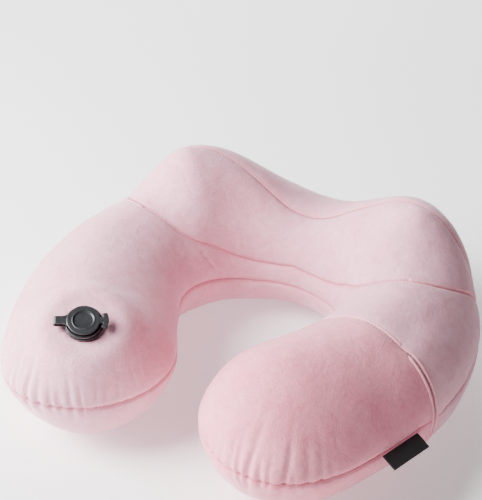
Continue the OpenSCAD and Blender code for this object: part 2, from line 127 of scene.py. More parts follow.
def profile(a, sizes):
    back, hump, arm, tip = sizes
    near = mix(back, hump, smooth(a / HUMP_ANGLE))
    far = mix(hump, arm, smooth((a - HUMP_ANGLE) / (ARM_ANGLE - HUMP_ANGLE)))
    end = (tip - arm) * smooth((a - ARM_ANGLE) / (TIP_FULL - ARM_ANGLE))
    return np.where(a < HUMP_ANGLE, near, far) + end


def seam_height(a):
    return mix(SEAM_BACK, SEAM_ARM, smooth((a - 20) / ARM_ANGLE))


def section(phi, theta, inset, share):
    a, s = np.abs(phi), sind(theta)
    rise, seam = power(s, ROUNDNESS), seam_height(a)
    out = (profile(a, HALF) - inset) * share * power(cosd(theta), ROUNDNESS)
    out = out + np.where(s > 0, profile(a, LEAN) * share * np.abs(s) ** 1.5, 0)
    top = (profile(a, HIGH) - seam - inset) * share * rise
    base = np.maximum(inset - seam, (seam + PRESS - inset) * share * rise)
    return np.stack([out, np.where(s > 0, top, base)], -1)


# %% The true circle that the zip runs round, and the skin itself
def circle_through(a, b, c):
    m = np.array([a - b, c - b])
    mid = np.linalg.solve(m, np.array([a @ a - b @ b, c @ c - b @ b]) / 2)
    return mid, np.linalg.norm(a - mid)


RING_MID, RING_R = circle_through(*[section(ARM_SEAM, t, 0, 1) for t in (62, 0, -55)])


def turn_of(p):
    return np.degrees(np.arctan2(p[..., 1] - RING_MID[1], p[..., 0] - RING_MID[0]))


def zip_share(turn, edge):
    return smooth((turn - ZIP_LOW + edge) / edge) * smooth((ZIP_HIGH + edge - turn) / edge)


def into_tip(phi):
    return np.clip((np.abs(phi) - TIP_FROM) / TIP_ROUND, 0, 1)


TIP_PACE = float(np.linalg.norm(centre(TIP_ANGLE - 0.5) - centre(TIP_ANGLE - 1.5)))


def raw_skin(phi, theta, inset=0.0):
    phi, theta = np.broadcast_arrays(np.asarray(phi, float), np.asarray(theta, float))
    into = into_tip(phi)
    at = np.where(into > 0, np.sign(phi) * (TIP_FROM + into * (TIP_ROUND - inset / TIP_PACE)), phi)
    p = section(at, theta, inset, np.sqrt(1 - into ** 2))
    away = p - RING_MID
    reach = np.linalg.norm(away, axis=-1, keepdims=True)
    w = (1 - smooth((np.abs(phi - ARM_SEAM) - 3) / 9)) * zip_share(turn_of(p), 25)
    ring = np.asarray(RING_R - inset)[..., None]
    p = mix(p, RING_MID + ring * away / reach, w[..., None])
    c, n = centre(at), outward(at)
    return np.stack([c[..., 0] + n[..., 0] * p[..., 0], c[..., 1] + n[..., 1] * p[..., 0],
                     seam_height(np.abs(at)) + p[..., 1]], -1)


edge_y = raw_skin(np.arange(0, TIP_ANGLE + 1)[:, None], np.array([0, 180]))[..., 1]
SHIFT = np.array([0, -(edge_y.max() + edge_y.min()) / 2, 0])
print("the cushion is shifted by", round(float(SHIFT[1]), 2), "mm to stand in the middle of its box")

# %% [markdown]
# ## The valve's place
# The valve sits in a flat that it presses into the crest of one arm. Its place and its three
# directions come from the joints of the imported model: the slide gives the way out, and the cap's
# hinge gives the way across.

# %% The valve's own directions, from the joints
CAP_R, CAP_LOW, CAP_T, LOOP_X = 12.5, 6.0, 1.8, -20.5
DISC_R, DISC_LOW, DISC_T = 14.0, 2.7, 1.3
STRAP_T, STRAP_W = 1.2, 6.6
STRAP_HIGH, STRAP_LOW = CAP_LOW + CAP_T / 2, DISC_LOW + DISC_T / 2
LOOP_Z, LOOP_R = (STRAP_HIGH + STRAP_LOW) / 2, (STRAP_HIGH - STRAP_LOW) / 2
valve_z = Vector(joints["insert_pull"]["axis"]).normalized()
valve_y = -Vector(joints["cap_hinge"]["axis"]).normalized()
valve_x = valve_y.cross(valve_z)
hinge = Vector(joints["cap_hinge"]["pos_m"])
valve_at = hinge - (LOOP_X * valve_x + LOOP_Z * valve_z) * MM
IN_VALVE = Matrix.Translation(valve_at) @ Matrix((valve_x, valve_y, valve_z)).transposed().to_4x4()
VALVE_AT, VALVE_Z = np.array(valve_at) / MM, np.array(valve_z)
print("the valve stands at", [round(v, 1) for v in VALVE_AT], "mm")


def skin(phi, theta, inset=0.0):
    """A point of the cushion, an inset below its surface, with the valve's flat pressed in."""
    p = raw_skin(phi, theta, inset) + SHIFT
    v = p - VALVE_AT
    d = v @ VALVE_Z
    r = np.linalg.norm(v - d[..., None] * VALVE_Z, axis=-1)
    rise = smooth(3 * sind(theta) * np.sqrt(1 - into_tip(phi) ** 2))
    w = np.where(np.asarray(phi) > 0, 0, (1 - smooth((r - 25) / 24)) * rise)
    return p - (w * (d + inset))[..., None] * VALVE_Z


# %% [markdown]
# ## The seams
# The cover is sewn from six panels. One seam runs all round the edge, two cross the humps, and one
# goes right round the arm, where the zip hides. Each seam is a line of pairs of angles, so it lies on
# the cushion whatever the cushion's shape.

# %% The lines of the seams
FRONT_NEAR = np.array([[0, 158], [45, 175], [76, 165], [76, 97]], float)
FRONT_FAR = np.array([[76, 97], [76, 55], [66, 35], [58, 0]], float)
REAR_LINE = np.array([[0, 105], [30, 112], [64, 100], [58, 0]], float)


def bezier(c, t):
    t = np.asarray(t)[..., None]
    return ((1 - t) ** 3 * c[0] + 3 * t * (1 - t) ** 2 * c[1]
            + 3 * t * t * (1 - t) * c[2] + t ** 3 * c[3])


def sided(p, s):
    return p * np.stack([np.where(s < 0, -1, 1), np.ones_like(s)], -1)


def front_seam(s):
    t = np.abs(s)
    return sided(np.where(t[..., None] < 0.5, bezier(FRONT_NEAR, np.minimum(2 * t, 1)),
                          bezier(FRONT_FAR, np.maximum(2 * t - 1, 0))), s)


def rear_seam(s):
    return sided(bezier(REAR_LINE, np.abs(s)), s)


def columns_of_tip(n):
    return TIP_FROM + TIP_ROUND * np.sin(np.linspace(0, np.pi / 2, n))


def tip_to_tip(in_a_tip, between_tips):
    """Angles along the whole U, closer together in its two tips."""
    tip = columns_of_tip(in_a_tip)
    return np.concatenate([-tip[::-1], np.linspace(-TIP_FROM, TIP_FROM, between_tips)[1:-1], tip])


def edge_seam(side):
    """The edge seam from tip to tip; side is 0 for the outer edge and 180 for the inner one."""
    phi = tip_to_tip(60, 500)
    return np.stack([phi, np.full_like(phi, side)], -1)


def arm_seam(low, high, n=240):
    t = np.linspace(low, high, n)
    return np.stack([np.full_like(t, ARM_SEAM), t], -1)


both_sides = np.linspace(-1, 1, 401)
seams = {"outer_edge": edge_seam(0), "inner_edge": edge_seam(180), "front": front_seam(both_sides),
         "rear": rear_seam(both_sides), "arm_top": arm_seam(0, 180), "arm_base": arm_seam(180, 360)}
print("seams:", ", ".join(seams))

# %% [markdown]
# ## Blowing the cushion up
# Velvet over an air bladder swells between its seams and is held in at them. That could be painted by
# hand, but a cloth simulation finds it by itself. A coarse copy of the cushion starts a little small,
# is held at the seams, the valve, the zip and the flat it stands on, and is blown up by pressure. What
# is kept is only how far each point moved, so that it can be added to panels of any fineness.


# %% A coarse closed cushion to blow up
START_INSET, SWELL_CAP, SIM_ROWS, SIM_FRAMES = 1.6, 3.0, 72, 20
HELD_BY_SEAM, HELD_BY_VALVE, HELD_BY_FLOOR = 3.2, 31, 1
sim_phi = tip_to_tip(11, 104)
sim_theta = np.arange(SIM_ROWS) * 360 / SIM_ROWS


def link(name, data):
    obj = bpy.data.objects.new(name, data)
    bpy.context.scene.collection.objects.link(obj)
    return obj


def tree_of(marks):
    """A search tree that finds the nearest of some marks."""
    tree = KDTree(len(marks))
    for i, m in enumerate(marks):
        tree.insert(m, i)
    tree.balance()
    return tree


def distance_to(tree, points):
    """How far each point lies from the nearest mark in a tree."""
    flat = points.reshape(-1, 3)
    return np.array([tree.find(p)[2] for p in flat]).reshape(points.shape[:-1])


def blow_up():
    """How far each point of the coarse cushion moves when it is blown up, in millimetres."""
    start = skin(sim_phi[1:-1, None], sim_theta[None, :], START_INSET)
    n, m = start.shape[:2]
    ends = [skin(p, 0, START_INSET) for p in (sim_phi[0], sim_phi[-1])]
    points = np.concatenate([start.reshape(-1, 3), ends])
    faces = [(i * m + j, i * m + (j + 1) % m, (i + 1) * m + (j + 1) % m, (i + 1) * m + j)
             for i in range(n - 1) for j in range(m)]
    faces += [((j + 1) % m, j, n * m) for j in range(m)]
    faces += [((n - 1) * m + j, (n - 1) * m + (j + 1) % m, n * m + 1) for j in range(m)]
    mesh = bpy.data.meshes.new("blown")
    mesh.from_pydata((points * MM).tolist(), [], faces)
    obj = link("blown", mesh)
    marks = np.concatenate([skin(s[::4, 0], s[::4, 1], START_INSET) for s in seams.values()])
    held = distance_to(tree_of(marks), points) < HELD_BY_SEAM
    held |= distance_to(tree_of([VALVE_AT]), points) < HELD_BY_VALVE
    held |= points[:, 2] < START_INSET + HELD_BY_FLOOR
    group = obj.vertex_groups.new(name="held")
    group.add(np.flatnonzero(held).tolist(), 1.0, "REPLACE")
    cloth = obj.modifiers.new("cloth", "CLOTH").settings
    cloth.quality, cloth.mass = 6, 0.2
    cloth.tension_stiffness = cloth.compression_stiffness = 12
    cloth.shear_stiffness, cloth.bending_stiffness = 6, 1.5
    cloth.use_pressure, cloth.uniform_pressure_force = True, 4
    cloth.effector_weights.gravity = 0
    cloth.vertex_group_mass = "held"
    for f in range(1, SIM_FRAMES + 1):
        bpy.context.scene.frame_set(f)
    blown = obj.evaluated_get(bpy.context.evaluated_depsgraph_get()).to_mesh()
    ended = np.array([v.co for v in blown.vertices]) / MM
    bpy.data.objects.remove(obj)
    bpy.context.scene.frame_set(1)
    move = ended - points
    far = np.linalg.norm(move, axis=1, keepdims=True)
    move *= np.tanh(far / SWELL_CAP) * SWELL_CAP / np.maximum(far, 1e-6)
    print("blown up: the cover moves up to", round(float(far.max()), 2), "mm, capped at", SWELL_CAP)
    field = np.zeros((n + 2, m, 3))
    field[1:-1] = move[:n * m].reshape(n, m, 3)
    field[0], field[-1] = move[-2], move[-1]
    return field


swell = blow_up()


# %% Reading the swelling between its points
def cubic(t):
    """Weights of the four points round a place, for a curve without corners."""
    return [((1 - t) ** 3) / 6, (3 * t ** 3 - 6 * t ** 2 + 4) / 6,
            (-3 * t ** 3 + 3 * t ** 2 + 3 * t + 1) / 6, t ** 3 / 6]


def swell_at(phi, theta):
    u = np.interp(phi, sim_phi, np.arange(len(sim_phi)))
    v = np.mod(theta, 360) / 360 * SIM_ROWS
    iu, iv = np.floor(u).astype(int), np.floor(v).astype(int)
    total = 0
    for a, wa in zip(range(-1, 3), cubic(u - iu)):
        for b, wb in zip(range(-1, 3), cubic(v - iv)):
            here = swell[np.clip(iu + a, 0, len(sim_phi) - 1), (iv + b) % SIM_ROWS]
            total = total + (wa * wb)[..., None] * here
    return total


def surface(phi, theta):
    """The blown-up cover, before its small folds."""
    phi, theta = np.broadcast_arrays(np.asarray(phi, float), np.asarray(theta, float))
    return skin(phi, theta, 0.6) + swell_at(phi, theta)


def normals(phi, theta, step=0.6):
    """Which way the cover faces, from points a small step apart."""
    phi = np.clip(phi, 0.3 - TIP_ANGLE, TIP_ANGLE - 0.3)
    wide = step * 0.5
    across = skin(phi, theta + step) - skin(phi, theta - step)
    run = skin(np.minimum(phi + wide, TIP_ANGLE), theta) - skin(np.maximum(phi - wide, -TIP_ANGLE), theta)
    n = np.cross(across, run)
    return n / np.maximum(np.linalg.norm(n, axis=-1, keepdims=True), 1e-9)


# %% [markdown]
# ## Folds, dents and the pull of the seams
# Where flat cloth is sewn round the end of an arm it has too much length, and gathers in short folds
# that run away from the seam. Each fold here has its own place, width, length and depth from a fixed
# seed. The thread also pulls the cloth down into a narrow valley, and the whole cover is very slightly
# uneven, as velvet is.

# %% A tree of the seams' points, for the distance to the nearest seam
seam_tree = tree_of(np.concatenate([surface(s[:, 0], s[:, 1]) for s in seams.values()]))

# %% The gathers round the two tips
GATHER_R = 62
dice = random.Random(7)


def new_gathers(first, last, gap):
    """Folds between two bearings round a tip, in degrees: place, width, length, depth and slant."""
    found, at = [], first
    while at < last:
        found.append((math.radians(at) * GATHER_R, dice.uniform(1.1, 2.2), dice.uniform(11, 32),
                      dice.uniform(1.0, 2.7), dice.uniform(-0.2, 0.2)))
        at += gap * dice.uniform(0.65, 1.35)
    return found


gathers = {-1: new_gathers(-60, 88, 8.5), 1: new_gathers(-66, 88, 7)}


def gather_depth(points, side):
    """How deep the gathers are at some points near the tip on one side."""
    root = side * (TIP_FROM + 3)
    c, a, n = centre(root) + SHIFT[:2], along(root) * side, outward(root)
    v = points[..., :2] - c
    bearing = np.arctan2(v @ n, v @ a)
    place = bearing * GATHER_R
    height = points[..., 2] - SEAM_ARM
    wide = smooth((np.linalg.norm(v, axis=-1) - 18) / 26)
    depth = 0
    for at, width, length, deep, slant in gathers[side]:
        reach = np.where(height > 0, length, length * 0.45)
        line = np.exp(-((place - at - slant * height) / width) ** 2)
        depth = depth + deep * (line - 0.12) * np.exp(-(height / reach) ** 2)
    strong = 0.25 + 0.75 * np.exp(-((bearing - 0.7) / 0.62) ** 2)
    return depth * wide * strong


# %% The folded surface
def uneven(points, size, seed):
    return np.array([noise.noise(Vector(p) / size + Vector((seed, 0, 0)))
                     for p in points.reshape(-1, 3)]).reshape(points.shape[:-1])


def dart(points):
    """A short crease beside the front seam, inside the neck."""
    ends = skin(np.array([-65.5, -57.5]), np.array([156.0, 172.0]))
    run = ends[1] - ends[0]
    t = np.clip((points - ends[0]) @ run / (run @ run), 0, 1)
    near = np.linalg.norm(points - ends[0] - t[..., None] * run, axis=-1)
    return np.exp(-(near / DART_W) ** 2)


def valve_pull(points):
    """Small ripples in the cover round the valve's rim."""
    v = points - VALVE_AT
    v = v - (v @ VALVE_Z)[..., None] * VALVE_Z
    r = np.linalg.norm(v, axis=-1)
    bearing = np.arctan2(v @ np.array(valve_y), v @ np.array(valve_x))
    ripple = np.sin(7 * bearing + 1.3 * np.sin(2 * bearing)) * 0.35
    return ripple * np.exp(-((r - 19) / 5) ** 2) * (r > 13) * (r < 40)


SEAM_PACE = float(np.linalg.norm(centre(ARM_SEAM + 0.5) - centre(ARM_SEAM - 0.5)))
SEAM_VALLEYS = ((1.5, 2.0), (0.9, 7.0))  # depth and width: the thread's own groove, the cloth's roll
DART_DEEP, DART_W, SLIT = 0.9, 1.8, 0.9
GATHERS_START, GATHERS_FADE = 25, 16     # degrees along the U
LUMPS = ((0.9, 34, 3), (0.28, 11, 9))    # height, size and seed


def zip_zone(phi, theta, edge, flat, fade):
    """1 beside the zip and 0 away from it; flat and fade are distances along the arm."""
    t = np.where(theta > 180, theta - 360, theta)
    share = np.where(np.abs(t) > 130, 0, zip_share(turn_of(section(ARM_SEAM, t, 0, 1)), edge))
    return (1 - smooth((np.abs(phi - ARM_SEAM) * SEAM_PACE - flat) / fade)) * share


def folded(phi, theta, slit=0.0):
    """The finished cover and its distance from the nearest seam, in millimetres. A slit parts the
    two sides of the zip, towards the tip when it is positive."""
    p, n = surface(phi, theta), normals(phi, theta)
    d = distance_to(seam_tree, p)
    sink = DART_DEEP * dart(p)
    for deep, wide in SEAM_VALLEYS:
        sink = sink + deep * np.exp(-(d / wide) ** 2)
    for side in (-1, 1):
        past = side * np.asarray(phi) - TIP_FROM + GATHERS_START
        near, fade = past > 0, smooth(past / GATHERS_FADE)
        sink = sink + np.where(near, gather_depth(p, side) * fade, 0)
    lumps = sum(high * uneven(p, size, seed) for high, size, seed in LUMPS)
    level = 1 - zip_zone(phi, theta, 9, 6, 8)
    calm = smooth((np.linalg.norm(p - VALVE_AT, axis=-1) - 15) / 12) * smooth(p[..., 2] / 6) * level
    p = p + n * ((lumps - valve_pull(p)) * calm - sink * (0.1 + 0.9 * level))[..., None]
    p[..., :2] += along(ARM_SEAM) * (slit * zip_zone(phi, theta, 6, 0, 10))[..., None]
    p[..., 2] = np.maximum(p[..., 2], 0.0)
    return p, d


# %% [markdown]
# ## The six panels of the cover
# Each panel is a grid between its own seams, fine enough to hold the folds. Solidify then gives it the
# thickness of the velvet, inwards, so that the outside stays where it is.


# %% Turning a grid of points into a mesh
# How far the painted shade of the seam grooves spreads from a seam, in millimetres.
SEAM_SHADE_W = 2.1
NEAR_VALVE, EDGE_OF_HOLE = 0.02, 6  # metres along the valve's axis, millimetres beyond the hole
COVER_WALL, COVER_HOLE, FILM_HOLE = 1.3, 13.7, 14.0


@contextmanager
def edited(mesh):
    """A mesh opened for editing, and written back at the end."""
    bm = bmesh.new()
    bm.from_mesh(mesh)
    yield bm
    bm.to_mesh(mesh)
    bm.free()


def thicken(obj, name, thickness, offset=-1):
    """Gives a sheet its thickness, inwards unless an offset says otherwise."""
    wall = obj.modifiers.new(name, "SOLIDIFY")
    wall.thickness, wall.offset = thickness * MM, offset


def smooth_mesh(name, points, faces, merge=0.02, near_seam=None):
    mesh = bpy.data.meshes.new(name)
    mesh.from_pydata((np.asarray(points) * MM).tolist(), [], faces)
    # The seam attribute marks where the velvet gets painted shade of the seam grooves.
    if near_seam is not None:
        line = mesh.attributes.new("seam", "FLOAT", "POINT")
        line.data.foreach_set("value", np.exp(-(near_seam / SEAM_SHADE_W) ** 2).astype(np.float32))
    with edited(mesh) as bm:
        bmesh.ops.remove_doubles(bm, verts=bm.verts, dist=merge * MM)
        bmesh.ops.dissolve_degenerate(bm, edges=bm.edges, dist=merge * MM * 0.5)
    mesh.shade_smooth()
    return mesh


def grid_faces(n, m, wrap=False):
    """Quads of a grid of n columns and m rows; wrap joins the last row to the first."""
    rows = m if wrap else m - 1
    return [(i * m + j, i * m + (j + 1) % m, (i + 1) * m + (j + 1) % m, (i + 1) * m + j)
            for i in range(n - 1) for j in range(rows)]


def open_hole(mesh, radius):
    """Cuts a round hole about the valve's axis and draws its edge to a true circle."""
    def reach(v):
        w = v.co - valve_at
        return w - w.dot(valve_z) * valve_z, abs(w.dot(valve_z))

    with edited(mesh) as bm:
        near = [v for v in bm.verts if reach(v)[0].length < radius * MM and reach(v)[1] < NEAR_VALVE]
        bmesh.ops.delete(bm, geom=near, context="VERTS")
        for v in {v for e in bm.edges if e.is_boundary for v in e.verts}:
            w, off = reach(v)
            if w.length < (radius + EDGE_OF_HOLE) * MM and off < NEAR_VALVE:
                v.co += w * (radius * MM / w.length - 1)


def panel(name, phi, theta, hole=0.0):
    points, d = folded(phi, theta, SLIT if name.startswith("arm") else -SLIT)
    n, m = points.shape[:2]
    mesh = smooth_mesh(name, points.reshape(-1, 3), grid_faces(n, m), near_seam=d.reshape(-1))
    if hole:
        open_hole(mesh, hole)
    obj = link(name, mesh)
    thicken(obj, "velvet", COVER_WALL)
    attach(obj, "pillow")
    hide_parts("cover_" + name)
    print(name, "has", len(mesh.polygons), "faces")
    return obj


# %% The columns and rows that each panel is cut from
NECK_END = 85  # degrees: the rows that start at the front seam end within this, at the inner edge


def rows(first, last, n):
    """Angles from one edge to the other, closer together near both."""
    t = np.linspace(0, 1, n)
    t = t - 0.55 * np.sin(2 * np.pi * t) / (2 * np.pi)
    return mix(first, last, t)


def between(a, b, n, bow=1.0):
    """Rows of points from each pair of angles in a to the one beside it in b. With a bow over 1 the
    rows leave a faster along the U than round it, so that they clear a seam that bulges."""
    t = rows(0, 1, n)[None, :]
    phi = mix(a[:, :1], b[:, :1], 1 - (1 - t) ** bow)
    return np.stack([phi, mix(a[:, 1:], b[:, 1:], t)], -1)


def main_cells():
    tip = -columns_of_tip(70)[::-1]
    outer = np.concatenate([tip, np.linspace(-TIP_FROM, -PANEL_END, 84)[1:]])
    fan = np.clip((outer + TIP_FROM) / (TIP_FROM - PANEL_END), 0, 1)
    inner = np.where(outer > -TIP_FROM, mix(-TIP_FROM, -NECK_END, fan), outer)
    s = np.linspace(-1, 1, 260)[1:-1]
    middle = np.sign(s) * NECK_END * (1 - (1 - np.abs(s)) ** 3.5)
    far = np.linspace(0, 1, 60)
    edge = np.concatenate([np.stack([outer, 0 * outer], -1), front_seam(s),
                           np.stack([mix(PANEL_END, ARM_SEAM, far), 0 * far], -1)])
    inside = np.concatenate([inner, middle, mix(NECK_END, ARM_SEAM, far)])
    return between(edge, np.stack([inside, np.full_like(inside, 180.0)], -1), 84, 2.3)


def tube_cells(phi, first, last, n):
    return np.stack(np.meshgrid(phi, rows(first, last, n), indexing="ij"), -1)


arm_phi = np.concatenate([np.linspace(ARM_SEAM, TIP_FROM, 26), columns_of_tip(70)[1:]])
base_phi = np.concatenate([-columns_of_tip(60)[::-1], np.linspace(-TIP_FROM, ARM_SEAM, 190)[1:]])
across_humps = np.linspace(-1, 1, 200)
cells = {
    "main_panel": main_cells(),
    "hump_panel": between(rear_seam(across_humps), front_seam(across_humps), 46),
    "back_panel": between(np.stack([PANEL_END * across_humps, 0 * across_humps], -1),
                          rear_seam(across_humps), 52),
    "arm_panel": tube_cells(arm_phi, 0, 180, 84),
    "base_panel": tube_cells(base_phi, 180, 360, 76),
    "arm_base_panel": tube_cells(arm_phi, 180, 360, 76),
}
panels = {name: panel(name, c[..., 0], c[..., 1], COVER_HOLE if name == "main_panel" else 0)
          for name, c in cells.items()}

# %% [markdown]
# ## The bladder inside
# Two sheets of film are welded together round their edge. They lie a little way under the cover and
# follow it, drawn together at the weld. Nobody sees them until the cover comes off, but they are real
# pieces, so they are made like the panels, as thin sheets with a few soft wrinkles.

# %% The two films and their weld
FILM_TOP, FILM_T, WELD_W, WELD_T = COVER_T + 1.8, 0.4, 4, 0.8
ZIP_DENT = 6


def zip_dent(phi, theta):
    """The film steps back from the zip so that the slider never touches it."""
    return ZIP_DENT * zip_zone(phi, theta, 25, 7, 16)


def film_point(phi, theta, side):
    pinch = 1 - smooth(np.abs(sind(theta)) * np.sqrt(1 - into_tip(phi) ** 2) / 0.3)
    flat = skin(phi, theta, 0.0)
    n = normals(phi, theta)
    depth = FILM_TOP + 0.5 + WELD_W * pinch + zip_dent(phi, theta)
    p = skin(phi, theta, depth)
    free = (1 - pinch) * smooth((np.linalg.norm(flat - VALVE_AT, axis=-1) - 24) / 12)
    ripple = 0.5 * (uneven(flat, 26, 21) - 0.4) * free
    p = p + n * ripple[..., None]
    p[..., 2] = p[..., 2] + side * pinch * WELD_T / 2
    return p


def film(name, first, last, side):
    grid = tube_cells(tip_to_tip(14, 150), first, last, 40)
    points = film_point(grid[..., 0], grid[..., 1], side)
    mesh = smooth_mesh(name, points.reshape(-1, 3), grid_faces(*points.shape[:2]))
    if side > 0:
        open_hole(mesh, FILM_HOLE)
    obj = link(name, mesh)
    thicken(obj, "film", FILM_T)
    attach(obj, "pillow")
    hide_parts("bladder_" + name)
    return obj


def turn_outwards(mesh):
    with edited(mesh) as bm:
        bmesh.ops.recalc_face_normals(bm, faces=bm.faces)


def sweep(name, frames, outline, closed=False, merge=0.01):
    """Carries an outline of (across, up) pairs along frames of (point, across, up)."""
    points = [p + a * x + u * y for p, a, u in frames for x, y in outline]
    n, m = len(frames), len(outline)
    faces = grid_faces(n, m, wrap=True)
    if closed:
        faces += [((n - 1) * m + j, (n - 1) * m + (j + 1) % m, (j + 1) % m, j) for j in range(m)]
    else:
        faces += [tuple(range(m))[::-1], tuple((n - 1) * m + j for j in range(m))]
    mesh = smooth_mesh(name, np.array(points), faces, merge)
    turn_outwards(mesh)
    return mesh


def edge_weld():
    """The flat rim where the two films are one."""
    run = tip_to_tip(24, 200)
    phi = np.concatenate([run, run[-2:0:-1]])
    theta = np.concatenate([np.zeros(len(run)), np.full(len(run) - 2, 180.0)])
    depth = FILM_TOP + zip_dent(phi, theta)
    far, near = skin(phi, theta, depth), skin(phi, theta, depth + WELD_W + FILM_T)
    up = np.array([0, 0, 1.0])
    frames = [((f + q) / 2, f - q, up) for f, q in zip(far, near)]
    half = WELD_T / 2
    outline = [(0.5, -half * 0.5), (0.5, half * 0.5), (0.44, half), (-0.5, half), (-0.5, -half),
               (0.44, -half)]
    return link("bladder_edge_weld", sweep("bladder_edge_weld", frames, outline, closed=True))


weld = edge_weld()
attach(weld, "pillow")
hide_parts("bladder_weld")
films = [film("top_film", 0, 180, 1), film("base_film", 180, 360, -1)]
print("bladder: two films of", [len(f.data.polygons) for f in films], "faces, and the weld")


# %% [markdown]
# ## Seam welts
# Along the back of the humps and round the arm the seam allowance is turned to one side, and shows as
# a low rounded ridge beside the stitch line. It is a flattened tube swept along the seam, half sunk in
# the cloth. Its two ends run down into the cover so that nothing is cut off.

# %% Sweeping a ridge beside a seam
def seam_frames(line, aside, lift, fade=8):
    """Frames along a seam, moved aside from it by some millimetres over the surface."""
    p, _ = folded(line[:, 0], line[:, 1])
    n = normals(line[:, 0], line[:, 1])
    t = np.gradient(p, axis=0)
    t /= np.maximum(np.linalg.norm(t, axis=-1, keepdims=True), 1e-9)
    b = np.cross(n, t)
    b /= np.maximum(np.linalg.norm(b, axis=-1, keepdims=True), 1e-9)
    k = np.arange(len(line))
    end = smooth(np.minimum(k, len(line) - 1 - k) / fade)
    p = p + b * aside + n * (lift * end - 1.2 * (1 - end))[:, None]
    return [(p[i], b[i] * mix(0.4, 1, end[i]), n[i] * mix(0.3, 1, end[i])) for i in range(len(p))]


def oval(wide, high, n=14):
    a = np.arange(n) * 2 * np.pi / n
    return [(wide / 2 * math.cos(x), high / 2 * math.sin(x)) for x in a]


def welt(name, line, aside, wide, high, lift):
    obj = link(name, sweep(name, seam_frames(line, aside, lift), oval(wide, high)))
    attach(obj, "pillow")
    return obj


welts = [
    welt("rear_seam_welt", rear_seam(np.linspace(-0.99, 0.99, 420)), 1.5, 2.2, 1.5, 0.5),
    welt("front_seam_welt_left", front_seam(np.linspace(-0.985, -0.52, 220)), -1.8, 3.0, 2.1, 0.65),
    welt("front_seam_welt_right", front_seam(np.linspace(0.52, 0.985, 220)), 1.8, 3.0, 2.1, 0.65),
    welt("arm_seam_welt", arm_seam(58, 176, 200), -1.6, 2.6, 1.9, 0.6),
]
print("welts:", [w.name for w in welts])

# %% [markdown]
# ## The zip in the arm's seam
# The zip hides between two folded lips of velvet that follow a true circle round the arm. The tapes
# are narrow woven strips under the lips. Each coil is a row of small loops, which Geometry Nodes lays
# along the tape's edge, because two hundred loops are one loop and a rule.

# %% Frames round the zip's circle
seam_mid, seam_out = centre(ARM_SEAM), outward(ARM_SEAM)
OUT, UP = np.array([*seam_out, 0]), np.array([0, 0, 1.0])
RUN = np.array([*along(ARM_SEAM), 0])
RING_AT = np.array([*(seam_mid + seam_out * RING_MID[0]), seam_height(ARM_SEAM) + RING_MID[1]]) + SHIFT


def ring_frames(first, last, n, sink=0, ends=0):
    """Frames at the zip's circle: across is along the arm, up is away from the circle's middle."""
    found = []
    for i, t in enumerate(np.radians(np.linspace(first, last, n))):
        away = OUT * math.cos(t) + UP * math.sin(t)
        full = float(smooth(min(i, n - 1 - i) / ends)) if ends else 1.0
        at = RING_AT + away * (RING_R - sink - 1.4 * (1 - full))
        found.append((at, RUN * mix(0.5, 1, full), away * mix(0.3, 1, full)))
    return found


TAPE_IN, TAPE_T, TAPE_W, TAPE_L, COIL_R = COVER_T + 0.9, 0.5, 11, 0.107, 0.8
COIL_IN = TAPE_IN + TAPE_T + COIL_R + 0.05
LIP_ASIDE, LIP_WIDE, LIP_HIGH, LIP_SINK = 2.3, 2.5, 1.7, 0.5
LIP_PAST, TAPE_PAST = 5, 4  # degrees that the lips and tapes run on past the zip's ends


def zip_lip(name, aside):
    shape = [(x + aside, y) for x, y in oval(LIP_WIDE, LIP_HIGH)]
    frames = ring_frames(ZIP_LOW - LIP_PAST, ZIP_HIGH + LIP_PAST, 120, LIP_SINK, 9)
    obj = link(name, sweep(name, frames, shape))
    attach(obj, "pillow")
    return obj


def tape(name, side):
    near, far = side * SLIT, side * (SLIT + TAPE_W)
    low, high = sorted((near, far))
    shape = [(low, -TAPE_T), (high, -TAPE_T), (high, 0), (low, 0)]
    frames = ring_frames(ZIP_LOW - TAPE_PAST, ZIP_HIGH + TAPE_PAST, 90, TAPE_IN)
    obj = link(name, sweep(name, frames, shape))
    obj.data.shade_flat()
    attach(obj, "pillow")
    return obj


lips = [zip_lip("zip_lip_shoulder", -LIP_ASIDE),
        zip_lip("zip_lip_arm", LIP_ASIDE)]
tapes = [tape("woven_tape_shoulder", -1), tape("woven_tape_arm", 1)]
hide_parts("zip_tape_shoulder")
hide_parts("zip_tape_arm")
print("zip circle of radius", round(float(RING_R), 2), "mm")

# %% [markdown]
# ## Rules made of Geometry Nodes
# Stitches and zip teeth are the same small thing over and over, so each is one node tree: a line of
# points goes in, it is cut into equal steps, a small shape is set at each step and turned to face along
# the line. A short helper class keeps the node wiring readable, and it serves the materials too.


# %% A helper that adds nodes to any tree
class Sock:
    """A node's output that can be used in sums, as if it were a number."""

    def __init__(self, tree, socket):
        self.tree, self.socket = tree, socket

    def maths(self, operation, *values):
        return self.tree.add(self.tree.math_node, {"operation": operation}, dict(enumerate(values)))

    def __add__(self, v):
        return self.maths("ADD", self, v)

    def __radd__(self, v):
        return self.maths("ADD", v, self)

    def __sub__(self, v):
        return self.maths("SUBTRACT", self, v)

    def __rsub__(self, v):
        return self.maths("SUBTRACT", v, self)

    def __mul__(self, v):
        return self.maths("MULTIPLY", self, v)

    def __rmul__(self, v):
        return self.maths("MULTIPLY", v, self)

    def clamp(self):
        return self.tree.add(self.tree.math_node, {"operation": "ADD", "use_clamp": True},
                             {0: self, 1: 0.0})


